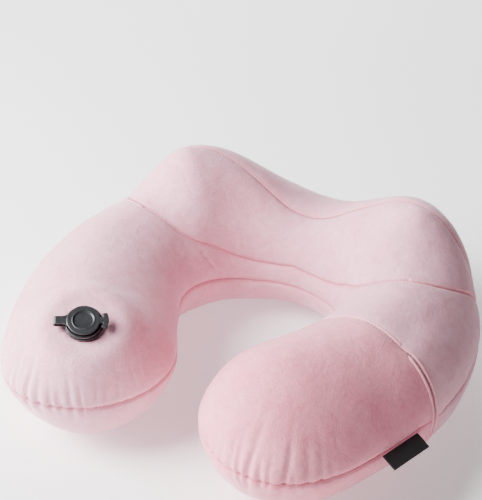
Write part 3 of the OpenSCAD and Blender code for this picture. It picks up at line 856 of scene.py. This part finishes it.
class Tree:
    """Adds nodes to a node tree; every node goes through add()."""

    def __init__(self, tree):
        self.tree = tree
        self.math_node = "ShaderNodeMath"

    def add(self, kind, settings=None, inputs=None, output=0):
        node = self.tree.nodes.new(kind)
        for key, value in (settings or {}).items():
            if key == "stops":
                ramp = node.color_ramp
                for i, (place, colour) in enumerate(value):
                    stop = ramp.elements[i] if i < 2 else ramp.elements.new(place)
                    stop.position, stop.color = place, (*colour, 1)
            else:
                setattr(node, key, value)
        for key, value in (inputs or {}).items():
            if isinstance(value, Sock):
                self.tree.links.new(value.socket, node.inputs[key])
            else:
                node.inputs[key].default_value = value
        self.last = node
        return None if output is None else Sock(self, node.outputs[output])


# %% One tree that repeats a small shape along a line
def repeat_tree(name, shape):
    """Geometry in, copies of a shape along it out. shape(t, size) adds the nodes of one copy."""
    group = bpy.data.node_groups.new(name, "GeometryNodeTree")
    for label, kind, way in (("Line", "NodeSocketGeometry", "INPUT"),
                             ("Pitch", "NodeSocketFloat", "INPUT"),
                             ("Length", "NodeSocketFloat", "INPUT"),
                             ("Thickness", "NodeSocketFloat", "INPUT"),
                             ("Material", "NodeSocketMaterial", "INPUT"),
                             ("Geometry", "NodeSocketGeometry", "OUTPUT")):
        group.interface.new_socket(name=label, in_out=way, socket_type=kind)
    t = Tree(group)
    t.add("NodeGroupInput", output=None)
    given = {s.name: Sock(t, s) for s in t.last.outputs if s.name}
    curve = t.add("GeometryNodeMeshToCurve", None, {"Mesh": given["Line"]})
    steps = t.add("GeometryNodeResampleCurve", {"mode": "LENGTH"},
                  {"Curve": curve, "Length": given["Pitch"]})
    tangent = t.add("GeometryNodeInputTangent")
    turned = t.add("FunctionNodeAlignRotationToVector", {"axis": "X"}, {"Vector": tangent})
    copies = t.add("GeometryNodeInstanceOnPoints", None,
                   {"Points": steps, "Instance": shape(t, given), "Rotation": turned})
    real = t.add("GeometryNodeRealizeInstances", None, {"Geometry": copies})
    soft = t.add("GeometryNodeSetShadeSmooth", None, {"Geometry": real})
    last = t.add("GeometryNodeSetMaterial", None, {"Geometry": soft, "Material": given["Material"]})
    t.add("NodeGroupOutput", None, {0: last}, output=None)
    return group


def stitch_shape(t, size):
    ball = t.add("GeometryNodeMeshUVSphere", None, {"Segments": 7, "Rings": 5, "Radius": 0.5})
    box = t.add("ShaderNodeCombineXYZ", None,
                {0: size["Length"], 1: size["Thickness"], 2: size["Thickness"]})
    return t.add("GeometryNodeTransform", None, {"Geometry": ball, "Scale": box})


TURN_LEAN = 0.3  # radians


def tooth_shape(t, size):
    """One open turn of a coil: a ring of wire that stands across the line."""
    circle = "GeometryNodeCurvePrimitiveCircle"
    ring = t.add(circle, None, {"Resolution": 10, "Radius": size["Length"]})
    strand = t.add(circle, None, {"Resolution": 5, "Radius": size["Thickness"]})
    loop = t.add("GeometryNodeCurveToMesh", None, {"Curve": ring, "Profile Curve": strand})
    across = (0.0, math.pi / 2 - TURN_LEAN, 0.0)
    return t.add("GeometryNodeTransform", None, {"Geometry": loop, "Rotation": across})


def repeated(name, lines, tree, pitch, length, thick, material):
    """A plain mesh of the copies that a tree sets along some lines, in millimetres."""
    points = [p for line in lines for p in line]
    edges, at = [], 0
    for line in lines:
        edges += [(at + i, at + i + 1) for i in range(len(line) - 1)]
        at += len(line)
    mesh = bpy.data.meshes.new(name)
    mesh.from_pydata([tuple(np.asarray(p) * MM) for p in points], edges, [])
    guide = link(name + "_guide", mesh)
    rule = guide.modifiers.new("repeat", "NODES")
    rule.node_group = tree
    values = {"Pitch": pitch * MM, "Length": length * MM, "Thickness": thick * MM, "Material": material}
    for item in tree.interface.items_tree:
        if item.in_out == "INPUT" and item.name in values:
            rule[item.identifier] = values[item.name]
    seen = guide.evaluated_get(bpy.context.evaluated_depsgraph_get())
    plain = bpy.data.meshes.new_from_object(seen)
    bpy.data.objects.remove(guide)
    plain.name = name
    return link(name, plain)


stitch_tree = repeat_tree("Stitches", stitch_shape)
tooth_tree = repeat_tree("Coil turns", tooth_shape)
print("trees:", stitch_tree.name, "and", tooth_tree.name)

# %% [markdown]
# ## Materials
# Velvet is a short pile: it has no shine of its own, but the tips of the fibres catch light at glancing
# angles, so edges glow and strokes of a hand stay visible. The sheen of the Principled shader gives the
# glow, and slow noise in colour and roughness gives the strokes. The hard parts are moulded plastic
# with a faint sparked texture, and the film, tape, coil, thread and tab each have their own finish.


# %% Starting a material
def new_material(name, **values):
    """A Principled material, its tree and its shader; values that never vary sit on the shader."""
    mat = bpy.data.materials.new(name)
    mat.use_nodes = True
    shader = mat.node_tree.nodes["Principled BSDF"]
    for key, value in values.items():
        shader.inputs[key.replace("_", " ")].default_value = value
    return mat, Tree(mat.node_tree), shader


def place(t):
    t.add("ShaderNodeTexCoord", output=None)
    return Sock(t, t.last.outputs["Object"])


def grain(t, where, scale, detail=2.0, rough=0.5, distort=0.0):
    return t.add("ShaderNodeTexNoise", None, {"Vector": where, "Scale": scale, "Detail": detail,
                                              "Roughness": rough, "Distortion": distort})


def blend(t, share, a, b):
    t.add("ShaderNodeMix", {"data_type": "RGBA"}, {0: share, 6: a, 7: b})
    return Sock(t, t.last.outputs[2])


def wire(t, shader, **values):
    for key, value in values.items():
        t.tree.links.new(value.socket, shader.inputs[key.replace("_", " ")])


def bumps(t, height, strength, distance, normal=None):
    inputs = {"Height": height, "Strength": strength, "Distance": distance}
    if normal is not None:
        inputs["Normal"] = normal
    return t.add("ShaderNodeBump", None, inputs)


# %% Velvet
def velvet(name, pale, full, deep):
    """Short pile: strokes, crushed marks and single fibres, each at its own scale. The attribute
    called seam is 1 on a stitch line, where a darker, deeper pink is mixed in as painted shade of the
    seam's groove."""
    mat, t, shader = new_material(name, Sheen_Weight=0.5, Sheen_Roughness=0.36,
                                  Sheen_Tint=(1.0, 0.9, 0.93, 1), Specular_IOR_Level=0.12)
    at = place(t)
    strokes = grain(t, at, 10.0, 3.0, 0.55, 1.4)
    marks = grain(t, at, 48.0, 5.0, 0.66, 0.9)
    crush = grain(t, at, 150.0, 3.0, 0.6, 0.7)
    fibres = grain(t, at, 900.0, 2.0, 0.6)
    stretched = t.add("ShaderNodeMapping", None, {"Vector": at, "Scale": (1.0, 1.0, 2.6)})
    lines = grain(t, stretched, 260.0, 3.0, 0.6, 0.6)
    brushed = ((strokes - 0.5) * 1.9 + (marks - 0.5) * 1.5 + (crush - 0.5) * 0.5 + 0.5).clamp()
    tone = blend(t, brushed, (*pale, 1), (*full, 1))
    dark = ((fibres - 0.5) * 0.6 + (lines - 0.5) * 0.6 + (crush - 0.5) * 0.5 + 0.2).clamp()
    shaded = blend(t, dark, tone, (*deep, 1))
    t.add("ShaderNodeAttribute", {"attribute_name": "seam"}, output=None)
    seam = Sock(t, t.last.outputs["Fac"])
    # A darker, deeper pink along the seams: painted shade of the seam grooves.
    seam_shade_colour = tuple(c * k for c, k in zip(full, (0.98, 0.62, 0.68)))
    wire(t, shader, Base_Color=blend(t, (seam * 0.5).clamp(), shaded, (*seam_shade_colour, 1)),
         Roughness=0.78 + (marks - 0.5) * 0.25)
    pile = bumps(t, fibres, 0.4, 0.0005)
    crushed = bumps(t, crush * 0.5 + lines * 0.3, 0.3, 0.0012, pile)
    wire(t, shader, Normal=bumps(t, marks, 0.38, 0.0026, crushed))
    return mat


velvet_main = velvet("Velvet", (0.87, 0.50, 0.59), (0.80, 0.37, 0.46), (0.63, 0.22, 0.29))
velvet_arm = velvet("Velvet of the arm", (0.90, 0.37, 0.46), (0.83, 0.26, 0.35), (0.63, 0.15, 0.21))
# The welts and zip lips get a lighter, redder copy of the same velvet: painted highlight on their ridges.
velvet_painted_highlight = velvet("Velvet of the welts, painted highlight", (0.93, 0.46, 0.53), (0.88, 0.37, 0.44), (0.68, 0.24, 0.30))


# %% Moulded plastic and rubber
def moulded_finish(name, colour, rough, coat=0.0, speck=0.02):
    """Moulded plastic: a spark-eroded grain, a little dust and soft wear in the gloss."""
    mat, t, shader = new_material(name, Coat_Weight=coat, Coat_Roughness=0.3,
                                  Specular_IOR_Level=0.45)
    at = place(t)
    dust, fine = grain(t, at, 160.0, 4.0, 0.6), grain(t, at, 2600.0, 2.0)
    worn = tuple(min(1, c * 1.7 + speck) for c in colour)
    wire(t, shader, Base_Color=blend(t, (dust - 0.42) * 0.9, (*colour, 1), (*worn, 1)),
         Roughness=rough + (dust - 0.5) * 0.22, Normal=bumps(t, fine, 0.12, 0.00012))
    return mat


charcoal = moulded_finish("Charcoal plastic", (0.015, 0.0165, 0.018), 0.34, 0.12, 0.006)
black_rubber = moulded_finish("Seal rubber", (0.008, 0.008, 0.009), 0.62, 0.0, 0.004)
silicone = moulded_finish("Flap silicone", (0.40, 0.43, 0.46), 0.42)


# %% Metal, film, cloth tape, coil, thread and the tab
def metal_finish(name, colour, rough):
    mat, t, shader = new_material(name, Metallic=1.0)
    at = place(t)
    scuffs = grain(t, t.add("ShaderNodeMapping", None, {"Vector": at, "Scale": (1.0, 6.0, 1.0)}),
                   700.0, 3.0)
    worn = tuple(c * 0.7 for c in colour)
    wire(t, shader, Base_Color=blend(t, scuffs * 0.5, (*colour, 1), (*worn, 1)),
         Roughness=rough + (scuffs - 0.5) * 0.3, Normal=bumps(t, scuffs, 0.1, 0.0001))
    return mat


def film_finish():
    mat, t, shader = new_material("Bladder film", Specular_IOR_Level=0.5)
    at = place(t)
    cloud, creases = grain(t, at, 18.0, 3.0), grain(t, at, 75.0, 5.0, 0.6, 1.5)
    wire(t, shader, Base_Color=blend(t, cloud, (0.52, 0.58, 0.64, 1), (0.68, 0.73, 0.77, 1)),
         Roughness=0.28 + (creases - 0.5) * 0.3, Normal=bumps(t, creases, 0.3, 0.0012))
    return mat


def woven(name, dark, light, pitch, across, rough=0.7, sheen=0.15, depth=0.00018):
    """Two sets of threads at right angles; across holds the two directions of the weave."""
    mat, t, shader = new_material(name, Sheen_Weight=sheen, Specular_IOR_Level=0.3)
    at = place(t)
    threads = []
    for way in across:
        along_it = t.add("ShaderNodeVectorMath", {"operation": "DOT_PRODUCT"},
                         {0: at, 1: tuple(way)}, output=1)
        threads.append(along_it.maths("SINE", along_it * (2 * math.pi / pitch)))
    weave = (threads[0] * threads[1]) * 0.5 + 0.5
    slub = grain(t, at, 420.0, 3.0)
    wire(t, shader, Base_Color=blend(t, (weave * 0.7 + slub * 0.3).clamp(), (*dark, 1), (*light, 1)),
         Roughness=rough + (slub - 0.5) * 0.2, Normal=bumps(t, weave + slub * 0.5, 0.5, depth))
    return mat


def thread_finish(name, colour, light):
    mat, t, shader = new_material(name, Sheen_Weight=0.2, Specular_IOR_Level=0.3)
    at = place(t)
    twist = grain(t, at, 1500.0, 2.0)
    wire(t, shader, Base_Color=blend(t, twist, (*colour, 1), (*light, 1)),
         Roughness=0.6 + (twist - 0.5) * 0.3, Normal=bumps(t, twist, 0.4, 0.0002))
    return mat


steel = metal_finish("Pin steel", (0.62, 0.63, 0.65), 0.3)
slider_metal = metal_finish("Slider metal", (0.74, 0.52, 0.55), 0.34)
film_mat = film_finish()
tape_mat = woven("Zip tape weave", (0.42, 0.22, 0.26), (0.62, 0.38, 0.43), 0.0009, (RUN, OUT + UP))
coil_mat = thread_finish("Coil nylon", (0.60, 0.36, 0.41), (0.74, 0.52, 0.56))
# One thread in two colours: the dark one is painted shade of the needle holes and groove, the pale one
# painted highlight on the ridged seams.
thread_painted_shade = thread_finish("Seam thread, painted shade", (0.40, 0.12, 0.17), (0.54, 0.20, 0.26))
thread_painted_highlight = thread_finish("Seam thread, painted highlight", (0.74, 0.34, 0.41), (0.84, 0.46, 0.53))
print("materials:", len(bpy.data.materials))

# %% Giving each soft piece its finish
def paint(obj, *mats):
    obj.data.materials.clear()
    for m in mats:
        obj.data.materials.append(m)


for name, obj in panels.items():
    arm = name.startswith("arm")
    paint(obj, velvet_arm if arm else velvet_main)
# Welts and zip lips take the velvet with painted highlight on their ridges.
for obj in welts + lips:
    paint(obj, velvet_painted_highlight)
for obj in films + [weld]:
    paint(obj, film_mat)
for obj in tapes:
    paint(obj, tape_mat)

# %% [markdown]
# ## Stitches and coils
# Each stitch lies along its seam and shows as a small dash, because the pile closes over the thread's
# two ends. The thread is dark on the edge and front seams, as painted shade of the needle holes and
# the groove, and pale on the others, as painted highlight on their ridges. The rows are the seams' own
# lines, so the count follows from their length.

# %% Stitches along every seam
def stitch_line(line, aside, lift, skip=0):
    frames = seam_frames(line, aside, lift, 2)
    frames = frames[skip:len(frames) - skip]
    return [p for p, _, _ in frames]


# Dark thread rows carry painted shade; pale thread rows carry painted highlight.
dark_rows = [stitch_line(seams["outer_edge"], 0.0, 0.6, 4),
             stitch_line(seams["inner_edge"], 0.0, 0.6, 4),
             stitch_line(front_seam(np.linspace(-0.99, 0.99, 600)), 0.9, 0.8)]
pale_rows = [stitch_line(rear_seam(np.linspace(-0.99, 0.99, 500)), 0.0, 0.7),
             stitch_line(arm_seam(64, 178, 200), 0.9, 0.7),
             stitch_line(arm_seam(182, 304, 200), 0.0, 0.6)]
stitches = [repeated("seam_stitches", dark_rows, stitch_tree, 2.5, 1.5, 0.55, thread_painted_shade),
            repeated("pale_seam_stitches", pale_rows, stitch_tree, 2.6, 1.6, 0.6, thread_painted_highlight)]
for obj in stitches:
    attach(obj, "pillow")
    print(obj.name, "has", len(obj.data.polygons), "faces")

# %% Coils of the zip
COIL_ASIDE, COIL_PITCH, TURN_R, WIRE_R = 1.5, 1.05, 0.62, 0.17
for name, side, node in (("coil_shoulder", -1, "zip_coil_shoulder"), ("coil_arm", 1, "zip_coil_arm")):
    line = [p + a * side * COIL_ASIDE for p, a, _ in ring_frames(ZIP_LOW, ZIP_HIGH, 120, COIL_IN)]
    turns = repeated(name, [line], tooth_tree, COIL_PITCH, TURN_R, WIRE_R, coil_mat)
    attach(turns, "pillow")
    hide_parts(node)
    print(turns.name, "has", len(turns.data.polygons), "faces")

# %% [markdown]
# ## The valve
# The valve's parts are soft injection mouldings: every edge is rounded, because the tool that made
# them was. Turned parts are drawn as half a section with rounded corners and spun about the valve's
# axis. The cap has a thumb tab as well, so it is put together from plain solids, remeshed into one skin
# in its own directions, and smoothed, which rounds the places where the solids meet.

# %% The valve's numbers, and rounding a section
RIM_R, NECK_R, OUTLET_R, THROAT_R, FLANGE_R = 14.5, 12.4, 9.5, 4.5, 20
FLANGE_TOP, SLEEVE = -(FILM_TOP + FILM_T) - 0.05, 6.8
INLET_TOP, PLUG_R = DISC_LOW + DISC_T + 1.6, THROAT_R + 0.8
FINE_MERGE, SHARP_EDGE = 0.002, math.radians(50)


def rounded(corners, radius, steps=4):
    """A closed outline with each corner cut by a short arc, as big as its two sides allow."""
    found = []
    for i, here in enumerate(corners):
        p, a, b = (np.array(c, float) for c in (here, corners[i - 1], corners[(i + 1) % len(corners)]))
        la, lb = np.linalg.norm(a - p), np.linalg.norm(b - p)
        cut = min(radius, la * 0.45, lb * 0.45)
        if abs(p[0]) < 1e-6:
            found.append(tuple(p))
            continue
        start, end = p + (a - p) / la * cut, p + (b - p) / lb * cut
        for k in range(steps + 1):
            t = k / steps
            found.append(tuple((1 - t) ** 2 * start + 2 * t * (1 - t) * p + t * t * end))
    return found


def lathe(name, outline, steps=96):
    """Spins a closed section of (radius, height) pairs about the z axis, in millimetres."""
    points, faces, n = [], [], len(outline)
    for i in range(steps):
        a = 2 * math.pi * i / steps
        points += [(r * math.cos(a), r * math.sin(a), z) for r, z in outline]
    for i in range(steps):
        k = (i + 1) % steps
        faces += [(i * n + j, k * n + j, k * n + (j + 1) % n, i * n + (j + 1) % n) for j in range(n)]
    mesh = smooth_mesh(name, np.array(points), faces, FINE_MERGE)
    turn_outwards(mesh)
    return mesh


def turned(name, corners, radius, body, mat, slot, *stands_for):
    obj = link(name, lathe(name, rounded(corners, radius)))
    obj.data.transform(IN_VALVE)
    obj.data.set_sharp_from_angle(angle=SHARP_EDGE)
    paint(obj, mat)
    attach(obj, body)
    if stands_for:
        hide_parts(*stands_for)
    return obj


# %% The valve base and the seal washer
FLANGE_T, RIM_LOW, RIM_TOP = 0.8, 0.3, 1.9
SEAL_IN, SEAL_OUT, SEAL_LOW, SEAL_TOP = 9.7, 13.8, 2.1, 2.68
turned("valve_flange_and_rim",
       [(OUTLET_R, FLANGE_TOP - FLANGE_T), (FLANGE_R, FLANGE_TOP - FLANGE_T), (FLANGE_R, FLANGE_TOP),
        (NECK_R, FLANGE_TOP), (NECK_R, RIM_LOW), (RIM_R, RIM_LOW), (RIM_R, RIM_TOP),
        (OUTLET_R, RIM_TOP)],
       0.35, "pillow", charcoal, "valve_plastic", "valve_base")
turned("seal_ring",
       [(SEAL_IN, SEAL_LOW), (SEAL_OUT, SEAL_LOW), (SEAL_OUT, SEAL_TOP), (SEAL_IN, SEAL_TOP)],
       0.2, "valve_insert", black_rubber, "seal_rubber", "valve_seal_washer")

# %% The insert with its lipped disc
LIP_W, LIP_H = 1.1, 0.9
insert_section = [
    (THROAT_R, -SLEEVE), (THROAT_R + 1.6, -SLEEVE), (THROAT_R + 1.6, -1), (OUTLET_R - 1.6, -1),
    (OUTLET_R - 1.6, -SLEEVE), (OUTLET_R - 0.08, -SLEEVE), (OUTLET_R - 0.08, DISC_LOW),
    (DISC_R, DISC_LOW), (DISC_R, DISC_LOW + DISC_T + LIP_H),
    (DISC_R - LIP_W, DISC_LOW + DISC_T + LIP_H), (DISC_R - LIP_W - 0.5, DISC_LOW + DISC_T - 0.2),
    (THROAT_R + 2.6, DISC_LOW + DISC_T - 0.2), (THROAT_R + 2.6, INLET_TOP), (PLUG_R + 0.35, INLET_TOP),
    (PLUG_R + 0.35, DISC_LOW), (THROAT_R, DISC_LOW)]
insert = turned("insert_sleeve_and_disc", insert_section, 0.3, "valve_insert", charcoal,
                "valve_plastic")

# %% The two lugs that carry the check flap's pin
FLAP_X, FLAP_Z = -(THROAT_R + 2.4), -SLEEVE - 1.3
LUG_ASIDE, LUG_T = 1.9, 0.8


def extruded(outline, axis, low, high):
    """A flat outline made thick along one axis: 2 is the valve's own, 1 lies across it."""
    n = len(outline)
    points = [(x, y, o) if axis == 2 else (x, o, y) for o in (low, high) for x, y in outline]
    faces = [tuple(range(n))[::-1], tuple(range(n, 2 * n))]
    faces += [(j, (j + 1) % n, n + (j + 1) % n, n + j) for j in range(n)]
    mesh = smooth_mesh("plate", np.array(points), faces, FINE_MERGE / 2)
    turn_outwards(mesh)
    return mesh


def lug(side):
    """A small ear under the sleeve, with a rounded foot."""
    foot = [(FLAP_X + math.cos(a), FLAP_Z + math.sin(a)) for a in np.linspace(math.pi, 2 * math.pi, 9)]
    ear = [(FLAP_X - 1, 0.3 - SLEEVE), *foot, (FLAP_X + 1, 0.3 - SLEEVE)]
    return extruded(ear, 1, side * LUG_ASIDE - LUG_T / 2, side * LUG_ASIDE + LUG_T / 2)


def joined(name, meshes):
    mesh = bpy.data.meshes.new(name)
    with edited(mesh) as bm:
        for m in meshes:
            bm.from_mesh(m)
    return mesh


ears = joined("ears", [lug(-1), lug(1)])
ears.transform(IN_VALVE)
with edited(insert.data) as insert_mesh:
    insert_mesh.from_mesh(ears)
insert.data.set_sharp_from_angle(angle=SHARP_EDGE)
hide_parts("valve_insert")


# %% The cap: a dished disc, a plug, and a thumb tab with swept-back ends
def arc(cx, r, first, last, n=14):
    return [(cx + r * math.cos(a), r * math.sin(a)) for a in np.radians(np.linspace(first, last, n))]


def tab_outline():
    """A bar bent round the cap, on a narrow neck."""
    outer, inner = arc(4.5, 14.4, -27, 27), arc(3.6, 11.4, 31, 12, 8)
    lower = [(x, -y) for x, y in reversed(inner)]
    return outer + inner + [(11.4, 2.1), (11.4, -2.1)] + lower


def strap_root():
    """Where the strap leaves the cap, flared so that it runs into the disc."""
    side = [(-16.0, 3.3), (-14.2, 3.45), (-12.6, 4.2), (-11.2, 5.6), (-9.0, 6.6)]
    return side + [(x, -y) for x, y in reversed(side)]


def moulded(name, solids, voxel, rounds, body, mat):
    """Joins plain solids into one rounded skin, in the valve's own directions."""
    raw = link(name + "_raw", joined(name, solids))
    one = raw.modifiers.new("one skin", "REMESH")
    one.mode, one.voxel_size = "VOXEL", voxel * MM
    soft = raw.modifiers.new("soft edges", "SMOOTH")
    soft.factor, soft.iterations = 0.5, rounds
    seen = raw.evaluated_get(bpy.context.evaluated_depsgraph_get())
    done = bpy.data.meshes.new_from_object(seen)
    bpy.data.objects.remove(raw)
    done.transform(IN_VALVE)
    done.shade_smooth()
    obj = link(name, done)
    paint(obj, mat)
    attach(obj, body)
    print(name, "has", len(done.polygons), "faces")
    return obj


CAP_TOP, RECESS_R = CAP_LOW + CAP_T, CAP_R * 0.62
cap_section = [(0, DISC_LOW + 0.2), (PLUG_R, DISC_LOW + 0.2), (PLUG_R, CAP_LOW), (CAP_R, CAP_LOW),
               (CAP_R, CAP_TOP), (RECESS_R + 1.0, CAP_TOP), (RECESS_R + 0.7, CAP_TOP + 0.25),
               (RECESS_R + 0.1, CAP_TOP + 0.2), (RECESS_R - 0.4, CAP_TOP - 0.75), (0, CAP_TOP - 0.75)]
cap = moulded("cap_with_thumb_tab",
              [lathe("cap", rounded(cap_section, 0.3)),
               extruded(tab_outline(), 2, CAP_LOW + 0.1, CAP_TOP - 0.1),
               extruded(strap_root(), 2, CAP_LOW + 0.3, CAP_TOP - 0.3)],
              0.26, 4, "valve_cap", charcoal)
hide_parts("valve_cap")

# %% [markdown]
# ## The strap
# The strap is the cap's hinge: a band that leaves the cap, bends back on itself and runs into the disc
# below. When the cap swings open only the bend turns.


# %% A band that bends back on itself
def strap_path():
    """(x, z, half width) along the middle of the band, from the disc to the cap."""
    turn = [(LOOP_X + LOOP_R * math.cos(a), LOOP_Z + LOOP_R * math.sin(a), STRAP_W / 2)
            for a in np.radians(np.linspace(-90, -270, 25))]
    low = [(x, STRAP_LOW, STRAP_W / 2 + f) for x, f in
           zip(np.linspace(-12.6, LOOP_X, 9), (1.2, 0.7, 0.35, 0.15, 0.05, 0, 0, 0, 0))]
    high = [(x, STRAP_HIGH, w) for x, _, w in low]
    return low[:-1] + turn + high[::-1][1:] + [(-11.6, STRAP_HIGH, STRAP_W / 2 + 1.8)]


def strap():
    path = np.array(strap_path())
    t = np.gradient(path[:, :2], axis=0)
    t /= np.linalg.norm(t, axis=1, keepdims=True)
    frames = [(np.array([x, 0, z]), np.array([0, w, 0]), np.array([-tz, 0, tx]))
              for (x, z, w), (tx, tz) in zip(path, t)]
    half = STRAP_T / 2
    side = rounded([(-1, -half), (1, -half), (1, half), (-1, half)], 0.12, 3)
    mesh = sweep("cap_strap_band", frames, side)
    mesh.transform(IN_VALVE)
    mesh.set_sharp_from_angle(angle=math.radians(60))
    return link("cap_strap_band", mesh)


band = strap()
paint(band, charcoal)
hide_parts("cap_strap")
loop_at = valve_at + LOOP_X * MM * valve_x
tuple(loop_at + STRAP_LOW * MM * valve_z)
tuple(loop_at + STRAP_HIGH * MM * valve_z)
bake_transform(band)
print("strap:", len(band.data.polygons), "faces")

# %% [markdown]
# ## The sewn-in tab
# The tab is a strip of black satin ribbon, folded once and caught in the edge seam. It is left bare. A
# folded strip is two layers that part slightly at the fold, so it is one strip of cloth bent over.

# %% A folded ribbon
LABEL_L, LABEL_W, LABEL_T, LABEL_ANGLE, LABEL_DROOP = 38, 13.5, 1.0, 108, 26
RIBBON_T, RIBBON_FLAT = 0.3, (0.038, 0.0275)


def ribbon():
    edge = skin(np.array([LABEL_ANGLE - 4.0, LABEL_ANGLE + 4.0]), np.array([0.0, 0.0]))
    run = edge[1] - edge[0]
    run[2] = 0
    run /= np.linalg.norm(run)
    fall = math.radians(LABEL_DROOP)
    way = np.array([-run[1] * math.cos(fall), run[0] * math.cos(fall), -math.sin(fall)])
    up = np.cross(run, way)
    up *= np.sign(up[2])
    root = skin(np.array([float(LABEL_ANGLE)]), np.array([0.0]), -0.6)[0]
    half, fold_r = LABEL_T / 2, (LABEL_T - RIBBON_T) / 2
    w = np.linspace(0, LABEL_W - half, 26)
    puff = 0.2 + 0.1 * w / LABEL_W + 0.12 * np.sin(np.pi * w / LABEL_W)
    fold = [(LABEL_W - half + fold_r * math.cos(a), fold_r * math.sin(a))
            for a in np.radians(np.linspace(70, -70, 9))]
    loop = list(zip(w, puff)) + fold + list(zip(w[::-1], -puff[::-1]))
    steps = np.linspace(-LABEL_L / 2, LABEL_L / 2, 60)
    points = []
    for s in steps:
        wave = 0.28 * math.sin(s * 0.16) + 0.12 * math.sin(s * 0.41 + 1)
        points += [root + run * s + way * x + up * (z + wave * (x / LABEL_W) ** 1.5) for x, z in loop]
    mesh = smooth_mesh("folded_tab", np.array(points), grid_faces(len(steps), len(loop)))
    return link("folded_tab", mesh), run, way


tab, tab_run, tab_way = ribbon()
thicken(tab, "ribbon", RIBBON_T, 0)
satin = woven("Tab satin", (0.006, 0.006, 0.007), (0.022, 0.022, 0.024), 0.00062,
              (tab_run, tab_way), 0.42)
paint(tab, satin)
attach(tab, "pillow")
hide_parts("label_tag")
print("tab:", len(tab.data.polygons), "faces")

# %% [markdown]
# ## Pieces that keep their construction shape
# The check flap, its pin, the slider and the end stops already have their true shape and are small, so
# they keep it and only get a finish.

# %% Finishes on the small hard pieces
for node, mat in (("check_flap", silicone), ("check_flap_pin", steel), ("zip_slider", slider_metal),
                  ("zip_stops", slider_metal)):
    paint(nodes[node], mat)

# %% [markdown]
# ## Floor, light and camera
# A pale floor and large soft lights keep the velvet's own shading readable. Both main lights stand on
# the left, so surfaces that face left are pale and the right side falls into a warmer shade. The floor
# glows a little, as a lit paper sweep does, so it stays pale beside the bright cloth.

# %% The floor and the room's light
FLOOR_HALF, FLOOR_Z = 30, -0.0008  # metres
corners = [(x * FLOOR_HALF, y * FLOOR_HALF, FLOOR_Z) for x, y in ((-1, -1), (1, -1), (1, 1), (-1, 1))]
floor_mesh = bpy.data.meshes.new("floor")
floor_mesh.from_pydata(corners, [], [(0, 1, 2, 3)])
floor = link("floor", floor_mesh)
floor_mat = new_material("Floor", Base_Color=(0.95, 0.945, 0.945, 1), Roughness=0.9,
                         Emission_Color=(1, 0.99, 0.99, 1), Emission_Strength=0.45)[0]
paint(floor, floor_mat)
world = bpy.data.worlds.new("room")
bpy.context.scene.world = world
world.use_nodes = True
room = world.node_tree.nodes["Background"].inputs
room["Color"].default_value, room["Strength"].default_value = (1.0, 0.985, 0.98, 1), 0.1


# %% The camera
def point_at(obj, spot, target):
    """Puts a camera or a light at a spot and turns it to face a target."""
    obj.location = spot
    obj.rotation_mode = "QUATERNION"
    obj.rotation_quaternion = (target - spot).to_track_quat("-Z", "Y")


AZIMUTH, ELEVATION, DISTANCE, LENS = 27.56, 34.88, 1.24, 109.66
LEFT_OF_AIM, ABOVE_AIM = 0.01029, 0.04963
az, el = math.radians(AZIMUTH), math.radians(ELEVATION)
back = Vector((math.sin(az) * math.cos(el), -math.cos(az) * math.cos(el), math.sin(el)))
right = Vector((math.cos(az), math.sin(az), 0))
up = back.cross(right)
looked_at = Vector((0, SHIFT[1] * MM, 0.060))
camera = link("camera", bpy.data.cameras.new("camera"))
camera.data.lens, camera.data.sensor_width = LENS, 36
camera.data.clip_start, camera.data.clip_end = 0.01, 50
point_at(camera, looked_at + back * DISTANCE, looked_at - right * LEFT_OF_AIM + up * ABOVE_AIM)
bpy.context.scene.camera = camera


# %% Soft lights
LIGHT_SIZE = 0.9


def soft_light(name, offset, power_w):
    """A round light of some watts; the offset is to the right, up and towards the camera."""
    data = bpy.data.lights.new(name, "AREA")
    data.shape, data.size, data.energy = "DISK", LIGHT_SIZE, power_w
    spot = looked_at + right * offset[0] + up * offset[1] + back * offset[2]
    point_at(link(name, data), spot, looked_at)


soft_light("window_left", (-1.2, 0.3, 0.2), 54)
soft_light("key", (-1.0, 0.75, 0.85), 52)
soft_light("from_behind", (0, 1.2, -0.8), 15)
